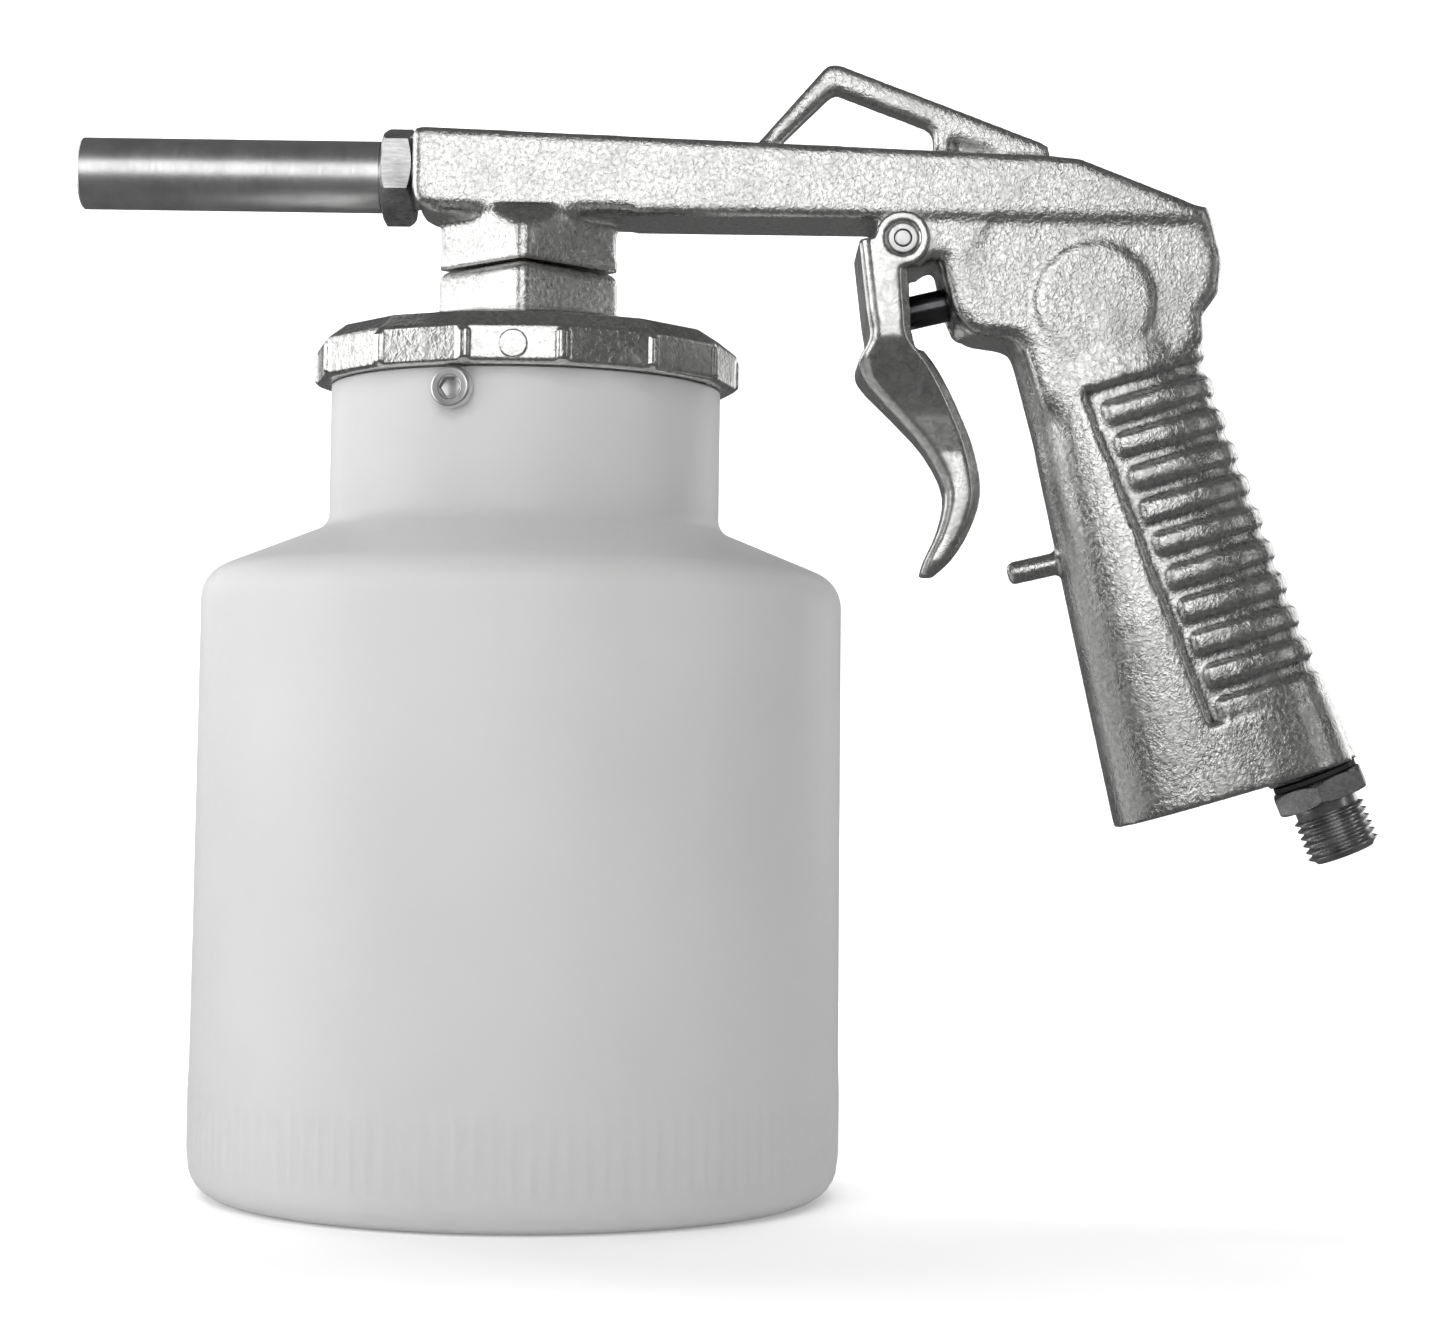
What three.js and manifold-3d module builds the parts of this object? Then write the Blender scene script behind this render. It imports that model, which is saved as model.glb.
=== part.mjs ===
// A suction-feed air gun: a cast pistol body with a plain nozzle tube, a lever trigger and a
// one-litre plastic bottle that a faceted ring clamps under the barrel.
// Millimetres, +Z up, nozzle towards -X, grip towards +X, origin under the middle of the bottle.

import * as THREE from "three";
import { mergeVertices } from "three/addons/utils/BufferGeometryUtils.js";
import Module from "manifold-3d";

const wasm = await Module();
wasm.setup();

// ---------- driving dimensions ----------

const faceGap = 0.25; // between two faces that rest on each other
const slideGap = 0.2; // all round a rod in its bore
const overrun = 2; // how far a cutter runs past the face it opens

const bottle = {
  footRadius: 58, // outside, just above the base
  topRadius: 57.3, // outside, just below the shoulder
  wall: 2.2,
  cornerRadius: 6, // round the base
  shoulderHeight: 109.5, // where the side would meet the shoulder cone
  shoulderCorner: 6.5,
  neckRadius: 35,
  neckWall: 3.6,
  neckFoot: 118.6, // where the shoulder cone would meet the neck
  neckFillet: 3.5,
  rim: 148.3, // top of the neck
  threadLength: 4.3, // below the rim
  threadStep: 1.6, // how much thinner the neck is at its thread
  threadDepth: 0.9,
  threadPitch: 2.4,
};

const lid = {
  sealThickness: 1.2,
  sealWidth: 5.2,
  flangeThickness: 1.5,
  rimWidth: 3.2, // of the flange under the ring's lip
  edge: 2.1, // height of the cone's edge above the flange
  coneTop: 15, // radius where the square boss grows out of it
  coneRise: 3.6,
  web: 4, // thickness of the middle of the lid
  bossHeight: 8.4, // square boss on top of the cone
};

const ring = {
  sides: 14,
  wall: 3.2, // from the bore out to the corners
  sideHeight: 6.6,
  height: 9.5,
  slopeWidth: 3.8, // of the sloping top
  ribWidth: 1.6,
  ribProud: 0.35,
  pinHead: 5, // diameter
  pinProud: 0.7,
  pinShank: 3,
  pinHeight: 3.3, // above the ring's lower edge
};

const boss = {
  side: 24, // square section of the joint between body and lid
  cornerCut: 1.4,
  seam: 165.6, // height of the joint in the gun's own frame
  roofDrop: 2.8, // its corners outside the barrel end this far below the barrel
  roofRise: 2, // and slope up to this far above the barrel's underside
};

const union = {
  shank: 9.8, // diameter
  bore: 6,
  hex: 15, // across flats
  hexThickness: 4,
  tailLength: 6, // spigot that takes the suction tube
  tail: 10.6, // diameter of the spigot
  reach: 6.5, // how far it screws up into the body
  washer: 17.5, // outer diameter of the joint washer
  washerThickness: 1.1,
};

const suction = {
  outer: 7.8, // diameter
  inner: 5.8,
  insert: 8, // length held in the union screw
  tip: 8, // height of its open end
};

const barrel = {
  front: -20.5,
  width: 21,
  bottom: 174.4,
  frontTop: 190,
  rearTop: 186.2,
  slopeStart: 93.5, // where the top begins to fall
  rear: 121.5,
  rearCorner: 177,
  edge: 1.3, // rounding along its edges
};

const nozzle = {
  axis: 182.4, // height
  outer: 12.9,
  inner: 9,
  tip: -81,
  thread: 11.6,
  threadEnd: -7.5,
  shoulder: -26.9, // where the tube steps down to its thread
  nutHex: 16, // across flats
  nutThickness: 5.6,
  nutTurn: 8, // degrees that a flat is turned up from facing the side
};

const jet = {
  thread: 9,
  hex: 9, // across flats of the turned head, as a round head
  seat: 14, // x of the step it screws against
  threadLength: 8,
  tip: 1.5, // x of its open end
  tipOuter: 3.6,
  tipInner: 1.8,
  washerThickness: 1,
  passage: 6, // bore that feeds it
  chamber: 10.6, // mixing chamber in front of it
};

const duct = {
  x: 96, // drilled down from the top of the barrel to the valve
  bore: 5,
  plug: 6.4, // diameter of the ball-headed plug that closes it
  plugLength: 3.2,
  plugProud: 0.5,
};

const hook = {
  width: 6,
  webWidth: 3.6, // where it is filled in, over the rear of the barrel
};

const pivot = new THREE.Vector3(67, 0, 170.5); // the trigger turns here

const trigger = {
  wall: 2.1, // cheeks
  webThickness: 2.2, // front of its channel
  channelFloor: 151, // lowest point of the channel
  eyeRadius: 5,
  pin: 3, // diameter
  pinFlange: 6.4, // recess round the pin's end
  recess: 0.7,
};

// Height, front, rear and half width of the trigger, from its top to its tip.
const triggerSections = [
  [170.6, 59.2, 68, 1],
  [157.5, 60.8, 69, 1],
  [153, 61.4, 69.6, 0.985],
  [149.3, 59.6, 72.6, 0.87],
  [146.6, 60, 74.6, 0.74],
  [140, 66, 78.2, 0.56],
  [133.3, 72, 80.9, 0.47],
  [126, 75.5, 82, 0.45],
  [119.5, 74.5, 80.1, 0.43],
  [114, 72.1, 76.8, 0.4],
  [111.2, 71.3, 73.8, 0.34],
];

const head = {
  width: 19.4, // of the block behind the trigger
  disc: 20.5, // diameter of the plain raised disc on each side
  discProud: 0.5,
  grooveWidth: 0.8, // round the disc
  grooveDepth: 0.5,
  discX: 101.4,
  discZ: 160.2,
};

const grip = {
  topWidth: 20.6,
  bottomWidth: 25.6,
  rib: 3, // height of each raised bar
  ribPitch: 6.25,
  ribs: 10,
  panelDepth: 1.1,
  ribTilt: 17.3, // degrees, rising towards the back
  passage: 12, // cored air passage
};

const peg = {
  radius: 2.15,
  tip: new THREE.Vector3(89.4, 0, 112.4),
  root: new THREE.Vector3(99, 0, 114.7),
};

// The valve lies along a tilted line; its parts are placed by their distance x along it.
const valve = {
  origin: new THREE.Vector3(70, 0, 159.2),
  tilt: 13.5, // degrees, rising towards the back
  nose: 5.2, // front of the cast nose
  noseRadius: 7.6,
  stem: 6,
  stemFront: -6.4,
  gland: 9.6, // thread of the packing nut
  glandLength: 4,
  packingLength: 2.6,
  chamberStart: 22,
  chamber: 8,
  seat: 31, // front face of the seat insert
  seatOuter: 10.6,
  seatBore: 6.6,
  seatLength: 3,
  neck: 4, // stem diameter through the seat
  poppet: 8.6,
  poppetLength: 2.6,
  sealLength: 1.4,
  tailLength: 5,
  tail: 3.4,
  springWire: 0.9,
  springTurns: 5,
  plugFront: 49,
  plugEnd: 54.4,
  plug: 10.6,
  plugSocket: 5, // across flats
  plugBore: 11,
};

const inlet = {
  origin: new THREE.Vector3(142.7, 0, 76.9), // middle of the face that the hexagon seats on
  tilt: 22.5, // degrees, its lower end towards the back
  collarRadius: 8.4,
  collarHeight: 3,
  hex: 16, // across flats
  hexThickness: 4.2,
  washerThickness: 0.8,
  neck: 11.4,
  neckLength: 1.6,
  thread: 13.157, // quarter-inch pipe thread
  threadRoot: 11.45,
  threadPitch: 1.337,
  crests: 6,
  bore: 7,
  spigot: 11, // part inside the grip
  spigotLength: 9,
};

const vent = {
  angle: 17, // degrees to the left of the front
  belowRim: 8.2,
  head: 7.2,
  headThickness: 1.8,
  socket: 3.4, // across flats
  socketDepth: 1.6,
  shank: 4,
  nutHex: 7,
  nutThickness: 2.4,
  washer: 8,
  washerThickness: 0.7,
};

// ---------- geometry helpers ----------

const rad = THREE.MathUtils.degToRad;
const coarse = 10; // segments round small pieces
const medium = 16;
const fine = 32; // segments round the bottle, lid and ring

// ---------- sizes that follow from the driving dimensions ----------

const threadRoot = bottle.neckRadius - bottle.threadStep;
const threadCrest = threadRoot + bottle.threadDepth;
const neckTop = bottle.rim - bottle.threadLength; // top of the plain neck
const neckBore = bottle.neckRadius - bottle.neckWall;
const sealBottom = bottle.rim + faceGap;
const sealTop = sealBottom + lid.sealThickness;
const flangeBottom = sealTop + faceGap;
const flangeTop = flangeBottom + lid.flangeThickness;
const flangeRadius = threadCrest - 0.1;
const coneFoot = flangeRadius - lid.rimWidth;
const sealInner = flangeRadius - lid.sealWidth;
const coneFootHeight = flangeTop + lid.edge;
const coneTopHeight = coneFootHeight + lid.coneRise;
const seamHeight = coneTopHeight + lid.bossHeight;
const gunLift = seamHeight - boss.seam; // the gun's own frame stands this far above the bottle's
const ringBore = threadCrest + 2 * faceGap;
const ringRadius = ringBore + ring.wall;
const ringBottom = neckTop;
const ringApothem = ringRadius * Math.cos(Math.PI / ring.sides);

// A closed geometry as a solid that can be joined and cut.
function solid(geometry) {
  const bare = geometry.index ? geometry.toNonIndexed() : geometry.clone();
  bare.deleteAttribute("normal");
  bare.deleteAttribute("uv");
  const merged = mergeVertices(bare, 1e-4);
  return new wasm.Manifold(
    new wasm.Mesh({
      numProp: 3,
      vertProperties: new Float32Array(merged.attributes.position.array),
      triVerts: new Uint32Array(merged.index.array),
    }),
  );
}

// A solid as a three.js geometry with flat faces.
function geometryOf(made) {
  const mesh = made.getMesh();
  const geometry = new THREE.BufferGeometry();
  const points = new Float32Array(mesh.numVert * 3);
  for (let i = 0; i < mesh.numVert; i++) {
    const from = i * mesh.numProp;
    points.set(mesh.vertProperties.subarray(from, from + 3), i * 3);
  }
  geometry.setAttribute("position", new THREE.BufferAttribute(points, 3));
  geometry.setIndex(new THREE.BufferAttribute(new Uint32Array(mesh.triVerts), 1));
  geometry.computeVertexNormals();
  return geometry;
}

// Corners [a, b, radius] as an outline in which each corner is an arc of its radius.
function rounded(corners, closed = true) {
  const outline = [];
  const count = corners.length;
  corners.forEach(([a, b, radius = 0], i) => {
    const here = new THREE.Vector2(a, b);
    const isEnd = !closed && (i === 0 || i === count - 1);
    if (!radius || isEnd) {
      outline.push(here);
      return;
    }
    const before = new THREE.Vector2(...corners[(i + count - 1) % count]);
    const after = new THREE.Vector2(...corners[(i + 1) % count]);
    const back = before.clone().sub(here);
    const on = after.clone().sub(here);
    const half = Math.acos(back.dot(on) / (back.length() * on.length())) / 2;
    const room = 0.49 * Math.min(back.length(), on.length());
    const reach = Math.min(radius / Math.tan(half), room);
    const r = reach * Math.tan(half);
    const start = here.clone().addScaledVector(back.normalize(), reach);
    const end = here.clone().addScaledVector(on.normalize(), reach);
    const middle = back.clone().add(on).normalize();
    const centre = here.clone().addScaledVector(middle, r / Math.sin(half));
    const steps = Math.max(2, Math.ceil((Math.PI - 2 * half) / rad(35)));
    const from = Math.atan2(start.y - centre.y, start.x - centre.x);
    let turn = Math.atan2(end.y - centre.y, end.x - centre.x) - from;
    turn -= 2 * Math.PI * Math.round(turn / (2 * Math.PI));
    for (let k = 0; k <= steps; k++) {
      const angle = from + (turn * k) / steps;
      outline.push(new THREE.Vector2(centre.x + r * Math.cos(angle), centre.y + r * Math.sin(angle)));
    }
  });
  return outline;
}

// A profile of [radius, height] corners turned round Z. It starts and ends on the axis or closes on itself.
function turned(corners, segments = medium, start = 0) {
  const profile = rounded(corners, false);
  const first = profile[0];
  const last = profile[profile.length - 1];
  if (first.x > 0 || last.x > 0) profile.push(first.clone());
  return solid(new THREE.LatheGeometry(profile, segments, start).rotateX(Math.PI / 2));
}

// A tube or rod along Z.
function rod(radius, low, high, segments = medium) {
  const height = high - low;
  const geometry = new THREE.CylinderGeometry(radius, radius, height, segments);
  return solid(geometry.rotateX(Math.PI / 2).translate(0, 0, (low + high) / 2));
}

function tube(outer, inner, low, high, segments = medium) {
  return rod(outer, low, high, segments).subtract(rod(inner, low - overrun, high + overrun, segments));
}

// A hexagonal bar along Z with chamfered ends. A flat faces -Y when turn is 0.
function hexagon(acrossFlats, low, high, turn = 0) {
  const radius = acrossFlats / Math.sqrt(3);
  const bar = new THREE.CylinderGeometry(radius, radius, high - low, 6).rotateX(Math.PI / 2);
  bar.rotateZ(rad(turn)).translate(0, 0, (low + high) / 2);
  const cut = (radius - acrossFlats / 2) * 0.75;
  const chamfer = turned(
    [
      [0, low],
      [radius - cut, low],
      [radius, low + cut],
      [radius, high - cut],
      [radius - cut, high],
      [0, high],
    ],
    medium,
  );
  return solid(bar).intersect(chamfer);
}

// A side outline in x and z, extruded over the given width across Y, with rounded edges.
function slab(outline, width, edge = 0) {
  const geometry = new THREE.ExtrudeGeometry(new THREE.Shape(outline), {
    depth: width - 2 * edge,
    bevelEnabled: edge > 0,
    bevelThickness: edge,
    bevelSize: edge,
    bevelOffset: -edge,
    bevelSegments: 2,
  });
  return solid(geometry.rotateX(Math.PI / 2).translate(0, width / 2 - edge, 0));
}

// A closed skin through rings of points that run anticlockwise, seen from the last ring.
function loft(rings) {
  const count = rings[0].length;
  const points = [];
  const triangles = [];
  rings.forEach((points3) => points3.forEach((p) => points.push(p.x, p.y, p.z)));
  for (let i = 0; i + 1 < rings.length; i++) {
    for (let k = 0; k < count; k++) {
      const a = i * count + k;
      const b = i * count + ((k + 1) % count);
      triangles.push(a, b, b + count, a, b + count, a + count);
    }
  }
  [0, rings.length - 1].forEach((i) => {
    const middle = new THREE.Vector3();
    rings[i].forEach((p) => middle.addScaledVector(p, 1 / count));
    const centre = points.length / 3;
    points.push(middle.x, middle.y, middle.z);
    for (let k = 0; k < count; k++) {
      const a = i * count + k;
      const b = i * count + ((k + 1) % count);
      triangles.push(centre, i ? a : b, i ? b : a);
    }
  });
  const geometry = new THREE.BufferGeometry();
  geometry.setAttribute("position", new THREE.Float32BufferAttribute(points, 3));
  geometry.setIndex(triangles);
  return solid(geometry);
}

// Places a solid made round Z, or in its own frame, by a matrix.
function placed(made, matrix) {
  return solid(geometryOf(made).applyMatrix4(matrix));
}

function alongX(made, height) {
  return placed(made, new THREE.Matrix4().makeRotationY(Math.PI / 2).setPosition(0, 0, height));
}

function acrossY(made, x, z) {
  return placed(made, new THREE.Matrix4().makeRotationX(Math.PI / 2).setPosition(x, 0, z));
}

function frameOf(origin, turn) {
  return new THREE.Matrix4().makeRotationY(turn).setPosition(origin);
}

// Valve parts are turned round Z and then laid so that +Z points along the valve's line.
const valveTurn = Math.PI / 2 - rad(valve.tilt);
const valveFrame = frameOf(valve.origin, valveTurn);
const inletTurn = -rad(inlet.tilt);
const inletFrame = frameOf(inlet.origin, inletTurn);

// ---------- materials ----------

const finish = (color, roughness, metalness) =>
  new THREE.MeshStandardMaterial({ color, roughness, metalness, flatShading: true });
const castAluminium = finish(0xb9b9b7, 0.38, 1);
const turnedSteel = finish(0xc9c9cb, 0.22, 1);
const darkSteel = finish(0x4a4a4c, 0.3, 1);
const brass = finish(0xb89a5a, 0.35, 1);
const bottlePlastic = finish(0xe2e2e0, 0.55, 0);
const tubePlastic = finish(0xd8d8d2, 0.5, 0);
const sealRubber = finish(0x262626, 0.8, 0);
const fibre = finish(0x8c4a3a, 0.85, 0);

const airGun = new THREE.Group();
const bottleGroup = new THREE.Group();
const gunGroup = new THREE.Group(); // everything above the joint, in the gun's own frame
gunGroup.position.z = gunLift;
const triggerGroup = new THREE.Group();
const valveGroup = new THREE.Group();
valveGroup.position.copy(valve.origin);
valveGroup.rotation.y = valveTurn;
const inletGroup = new THREE.Group();
inletGroup.position.copy(inlet.origin);
inletGroup.rotation.y = inletTurn;
airGun.add(bottleGroup, gunGroup);
gunGroup.add(triggerGroup, valveGroup, inletGroup);

function addPart(group, name, made, material) {
  const mesh = new THREE.Mesh(geometryOf(made), material);
  mesh.name = name;
  group.add(mesh);
  return mesh;
}

// ---------- bottle ----------

// Corners of the bottle's outside, or of its inside when it is moved in by the wall.
function bottleCorners(inset) {
  const slope = Math.atan2(
    bottle.neckFoot - bottle.shoulderHeight,
    bottle.topRadius - bottle.neckRadius,
  );
  const drop = inset * Math.tan((Math.PI / 2 - slope) / 2);
  return [
    [0, inset],
    [bottle.footRadius - inset, inset, bottle.cornerRadius],
    [bottle.topRadius - inset, bottle.shoulderHeight - drop, bottle.shoulderCorner],
    [bottle.neckRadius - inset, bottle.neckFoot - drop, bottle.neckFillet],
  ];
}

function makeBottle() {
  const innerFoot = bottleCorners(bottle.wall).pop();
  const outside = [
    ...bottleCorners(0),
    [bottle.neckRadius, neckTop - faceGap],
    [threadRoot, neckTop - faceGap],
  ];
  const inside = [
    ...bottleCorners(bottle.wall).slice(0, -1),
    [neckBore, innerFoot[1], bottle.neckFillet],
    [neckBore, bottle.rim],
  ];
  const pitch = bottle.threadPitch;
  for (let z = neckTop + 0.25 * pitch; z + 0.6 * pitch < bottle.rim; z += pitch) {
    outside.push([threadRoot, z]);
    outside.push([threadCrest, z + 0.2 * pitch]);
    outside.push([threadCrest, z + 0.4 * pitch]);
    outside.push([threadRoot, z + 0.6 * pitch]);
  }
  outside.push([threadRoot, bottle.rim]);
  const body = turned([...outside, ...inside.reverse()], fine);
  return body.subtract(ventSolid(rod(vent.shank / 2 + slideGap, -10, 10, coarse)));
}

// The vent screw's own frame: its axis points out of the neck, from the neck's outer face.
function ventMatrix() {
  const matrix = new THREE.Matrix4().makeRotationZ(-rad(vent.angle));
  matrix.multiply(new THREE.Matrix4().makeTranslation(0, -bottle.neckRadius, bottle.rim - vent.belowRim));
  return matrix.multiply(new THREE.Matrix4().makeRotationX(Math.PI / 2));
}

function ventSolid(made) {
  return placed(made, ventMatrix());
}

function makeVentScrew() {
  const top = vent.headThickness + faceGap;
  const screw = turned(
    [
      [0, -bottle.neckWall - vent.nutThickness - vent.washerThickness - 2 * faceGap - 0.6],
      [vent.shank / 2, -bottle.neckWall - vent.nutThickness - vent.washerThickness - 2 * faceGap - 0.6],
      [vent.shank / 2, faceGap],
      [vent.head / 2, faceGap],
      [vent.head / 2, top, 0.6],
      [0, top],
    ],
    medium,
  );
  const socket = hexagon(vent.socket, top - vent.socketDepth, top + overrun, 30);
  return ventSolid(screw.subtract(socket));
}

function makeVentWasher() {
  const outer = -bottle.neckWall - faceGap - 0.5; // clear of the neck's curve
  return ventSolid(tube(vent.washer / 2, vent.shank / 2 + slideGap, outer - vent.washerThickness, outer, coarse));
}

function makeVentNut() {
  const outer = -bottle.neckWall - 2 * faceGap - 0.5 - vent.washerThickness;
  const nut = hexagon(vent.nutHex, outer - vent.nutThickness, outer);
  return ventSolid(nut.subtract(rod(vent.shank / 2 + slideGap, outer - 10, outer + 10, coarse)));
}

addPart(bottleGroup, "bottle", makeBottle(), bottlePlastic);
addPart(bottleGroup, "bottle_vent_screw", makeVentScrew(), turnedSteel);
addPart(bottleGroup, "bottle_vent_washer", makeVentWasher(), sealRubber);
addPart(bottleGroup, "bottle_vent_nut", makeVentNut(), turnedSteel);

// ---------- lid, seal and clamping ring ----------

// Square section with cut corners, one corner towards the side of the gun.
function squareBar(low, high) {
  const half = boss.side / 2;
  const cut = boss.cornerCut;
  const corners = [];
  for (let k = 0; k < 4; k++) {
    const turn = (k * Math.PI) / 2 + Math.PI / 4;
    [
      [half, half - cut],
      [half - cut, half],
    ].forEach(([a, b]) => {
      const point = new THREE.Vector2(a, b).rotateAround(new THREE.Vector2(), turn);
      corners.push(point);
    });
  }
  const geometry = new THREE.ExtrudeGeometry(new THREE.Shape(corners), {
    depth: high - low,
    bevelEnabled: false,
  });
  return solid(geometry.translate(0, 0, low));
}

function makeLid() {
  const bore = union.shank / 2 + slideGap;
  const webBottom = coneTopHeight - lid.web;
  const plate = turned(
    [
      [bore, webBottom],
      [sealInner - 3, webBottom],
      [sealInner, flangeBottom],
      [flangeRadius, flangeBottom],
      [flangeRadius, flangeTop],
      [coneFoot, flangeTop],
      [coneFoot, coneFootHeight],
      [lid.coneTop, coneTopHeight],
      [bore, coneTopHeight],
    ],
    fine,
  );
  const top = seamHeight - faceGap;
  const washerSeat = top - union.washerThickness + faceGap;
  return plate
    .add(squareBar(coneTopHeight - lid.web / 2, top))
    .subtract(rod(bore, webBottom - overrun, top + overrun))
    .subtract(rod(union.washer / 2 + slideGap, washerSeat - faceGap, top + overrun));
}

function makeRing() {
  const facet = Math.PI / ring.sides;
  const outer = turned(
    [
      [0, ringBottom],
      [ringRadius - 0.6, ringBottom],
      [ringRadius, ringBottom + 0.6],
      [ringRadius, ringBottom + ring.sideHeight],
      [ringRadius - ring.slopeWidth, ringBottom + ring.height],
      [0, ringBottom + ring.height],
    ],
    ring.sides,
    facet,
  );
  let made = outer;
  for (let k = 0; k < ring.sides; k++) {
    const rib = new THREE.BoxGeometry(ring.ribWidth, 2, ring.sideHeight - 1.6);
    rib.translate(0, -ringRadius + 1 - ring.ribProud, ringBottom + ring.sideHeight / 2);
    made = made.add(solid(rib.rotateZ((2 * k + 1) * facet)));
  }
  const lip = flangeTop + faceGap;
  return made
    .subtract(rod(ringBore, ringBottom - overrun, lip, fine))
    .subtract(rod(coneFoot + faceGap, lip - overrun, ringBottom + ring.height + overrun, fine))
    .subtract(pinSolid(rod(ring.pinShank / 2 + slideGap, -10, 10, coarse), 0))
    .subtract(pinSolid(rod(ring.pinShank / 2 + slideGap, -10, 10, coarse), 180));
}

// The ring's pins point out of the middle of a facet.
function pinSolid(made, angle) {
  const matrix = new THREE.Matrix4().makeRotationZ(rad(angle));
  matrix.multiply(new THREE.Matrix4().makeTranslation(0, -ringApothem, ringBottom + ring.pinHeight));
  matrix.multiply(new THREE.Matrix4().makeRotationX(Math.PI / 2));
  return placed(made, matrix);
}

function makeRingPin(angle) {
  const depth = ringApothem - ringBore;
  const pin = turned(
    [
      [0, -depth + 0.2],
      [ring.pinShank / 2, -depth + 0.2],
      [ring.pinShank / 2, faceGap / 2],
      [ring.pinHead / 2, faceGap / 2],
      [ring.pinHead / 2, ring.pinProud, 0.3],
      [0, ring.pinProud],
    ],
    coarse,
  );
  return pinSolid(pin, angle);
}

addPart(airGun, "lid", makeLid(), turnedSteel);
addPart(
  airGun,
  "lid_seal",
  tube(flangeRadius - faceGap, sealInner, sealBottom, sealTop, fine),
  sealRubber,
);
addPart(airGun, "clamp_ring", makeRing(), castAluminium);
addPart(airGun, "clamp_ring_pin_front", makeRingPin(0), castAluminium);
addPart(airGun, "clamp_ring_pin_back", makeRingPin(180), castAluminium);

// ---------- union screw, joint washer and suction tube ----------

const hexTop = coneTopHeight - lid.web - faceGap;
const hexBottom = hexTop - union.hexThickness;
const tailBottom = hexBottom - union.tailLength;
const socketTop = tailBottom + suction.insert;

function makeUnionScrew() {
  return hexagon(union.hex, hexBottom, hexTop)
    .add(rod(union.shank / 2, hexTop - 1, seamHeight + union.reach))
    .add(rod(union.tail / 2, tailBottom, hexBottom + 1))
    .subtract(rod(union.bore / 2, tailBottom - overrun, seamHeight + union.reach + overrun, coarse))
    .subtract(rod(suction.outer / 2 + slideGap, tailBottom - overrun, socketTop));
}

function makeJointWasher() {
  const top = seamHeight - faceGap;
  const low = top - union.washerThickness + faceGap;
  const inner = union.shank / 2 + slideGap;
  return tube(union.washer / 2, inner, low, low + union.washerThickness - faceGap);
}

function makeSuctionTube() {
  const pipe = tube(suction.outer / 2, suction.inner / 2, suction.tip, socketTop - faceGap, coarse);
  const notch = new THREE.BoxGeometry(2 * suction.outer, suction.outer, suction.outer);
  notch.rotateY(rad(30)).translate(-suction.outer / 2, 0, suction.tip - suction.outer / 2);
  return pipe.subtract(solid(notch));
}

addPart(airGun, "union_screw", makeUnionScrew(), brass);
addPart(airGun, "joint_washer", makeJointWasher(), fibre);
addPart(airGun, "suction_tube", makeSuctionTube(), tubePlastic);

// ---------- cast body ----------

// Height of the barrel's top over x.
function barrelTop(x) {
  const slope = (barrel.rearTop - barrel.frontTop) / (barrel.slopeStart - barrel.front);
  return barrel.frontTop + slope * (x - barrel.front);
}

function makeBarrelBlock() {
  const outline = rounded([
    [barrel.front, barrel.frontTop, 1.5],
    [barrel.front, barrel.bottom, 4.5],
    [barrel.rear - 2, barrel.bottom],
    [barrel.rear, barrel.rearCorner],
    [barrel.slopeStart + 5, barrel.rearTop - 0.4],
    [barrel.slopeStart, barrel.rearTop],
  ]);
  return slab(outline, barrel.width, barrel.edge);
}

// The triangular hanging hook on top of the barrel, with its web over the rear of the barrel.
function makeHook() {
  const foot = barrel.bottom + 6;
  const outline = [
    [36, foot],
    [40, barrelTop(40)],
    [53.2, 203.2],
    [54.4, 204],
    [56, 203.6],
    [96.4, 188.6],
    [98, 185],
    [98, foot],
  ].map(([x, z]) => new THREE.Vector2(x, z));
  const hole = rounded([
    [43.6, barrelTop(43.6) - 0.2, 0.6],
    [54.9, 198.9, 0.8],
    [73, 192.2, 1.6],
    [73, barrelTop(73) - 0.2, 1],
  ]);
  const pocket = rounded([
    [76, barrelTop(76) + 0.4, 0.5],
    [76, 190.8, 0.5],
    [87.5, barrelTop(87.5) + 0.4, 0.3],
  ]);
  const side = (hook.width - hook.webWidth) / 2;
  const pocketCut = slab(pocket, side);
  const shift = (hook.width - side) / 2;
  return slab(outline, hook.width)
    .subtract(slab(hole, 2 * hook.width))
    .subtract(placed(pocketCut, new THREE.Matrix4().makeTranslation(0, -shift, 0)))
    .subtract(placed(pocketCut, new THREE.Matrix4().makeTranslation(0, shift, 0)));
}

// The square boss under the barrel. Its corners outside the barrel slope up to the barrel's sides.
function makeBodyBoss() {
  const reach = boss.side * Math.SQRT1_2;
  const far = reach + 3;
  const low = boss.seam - overrun;
  const outer = barrel.bottom - boss.roofDrop;
  const inner = barrel.bottom + boss.roofRise;
  const side = barrel.width / 2 - 1;
  const slope = (inner - outer) / (reach - side);
  const half = [
    [far, low],
    [far, outer - 3 * slope],
    [side, inner],
  ];
  const corners = [...half, ...half.map(([y, z]) => [-y, z]).reverse()];
  const roof = new THREE.Shape(corners.map(([y, z]) => new THREE.Vector2(y, z)));
  const geometry = new THREE.ExtrudeGeometry(roof, { depth: 2 * far, bevelEnabled: false });
  geometry.rotateX(Math.PI / 2).rotateZ(Math.PI / 2).translate(-far, 0, 0);
  return squareBar(boss.seam, inner).intersect(solid(geometry));
}

function makeHeadBlock() {
  const outline = [
    [72.4, 176],
    [74.2, 164.6],
    [76.2, 157.4],
    [79.4, 154],
    [88, 152.6],
    [92, 140],
    [116, 147],
    [121.2, 154],
    [121, 158.4],
    [123.8, 162.4],
    [124.4, 168],
    [121.9, 178],
  ].map(([x, z]) => new THREE.Vector2(x, z));
  return slab(outline, head.width, 2);
}

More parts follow.
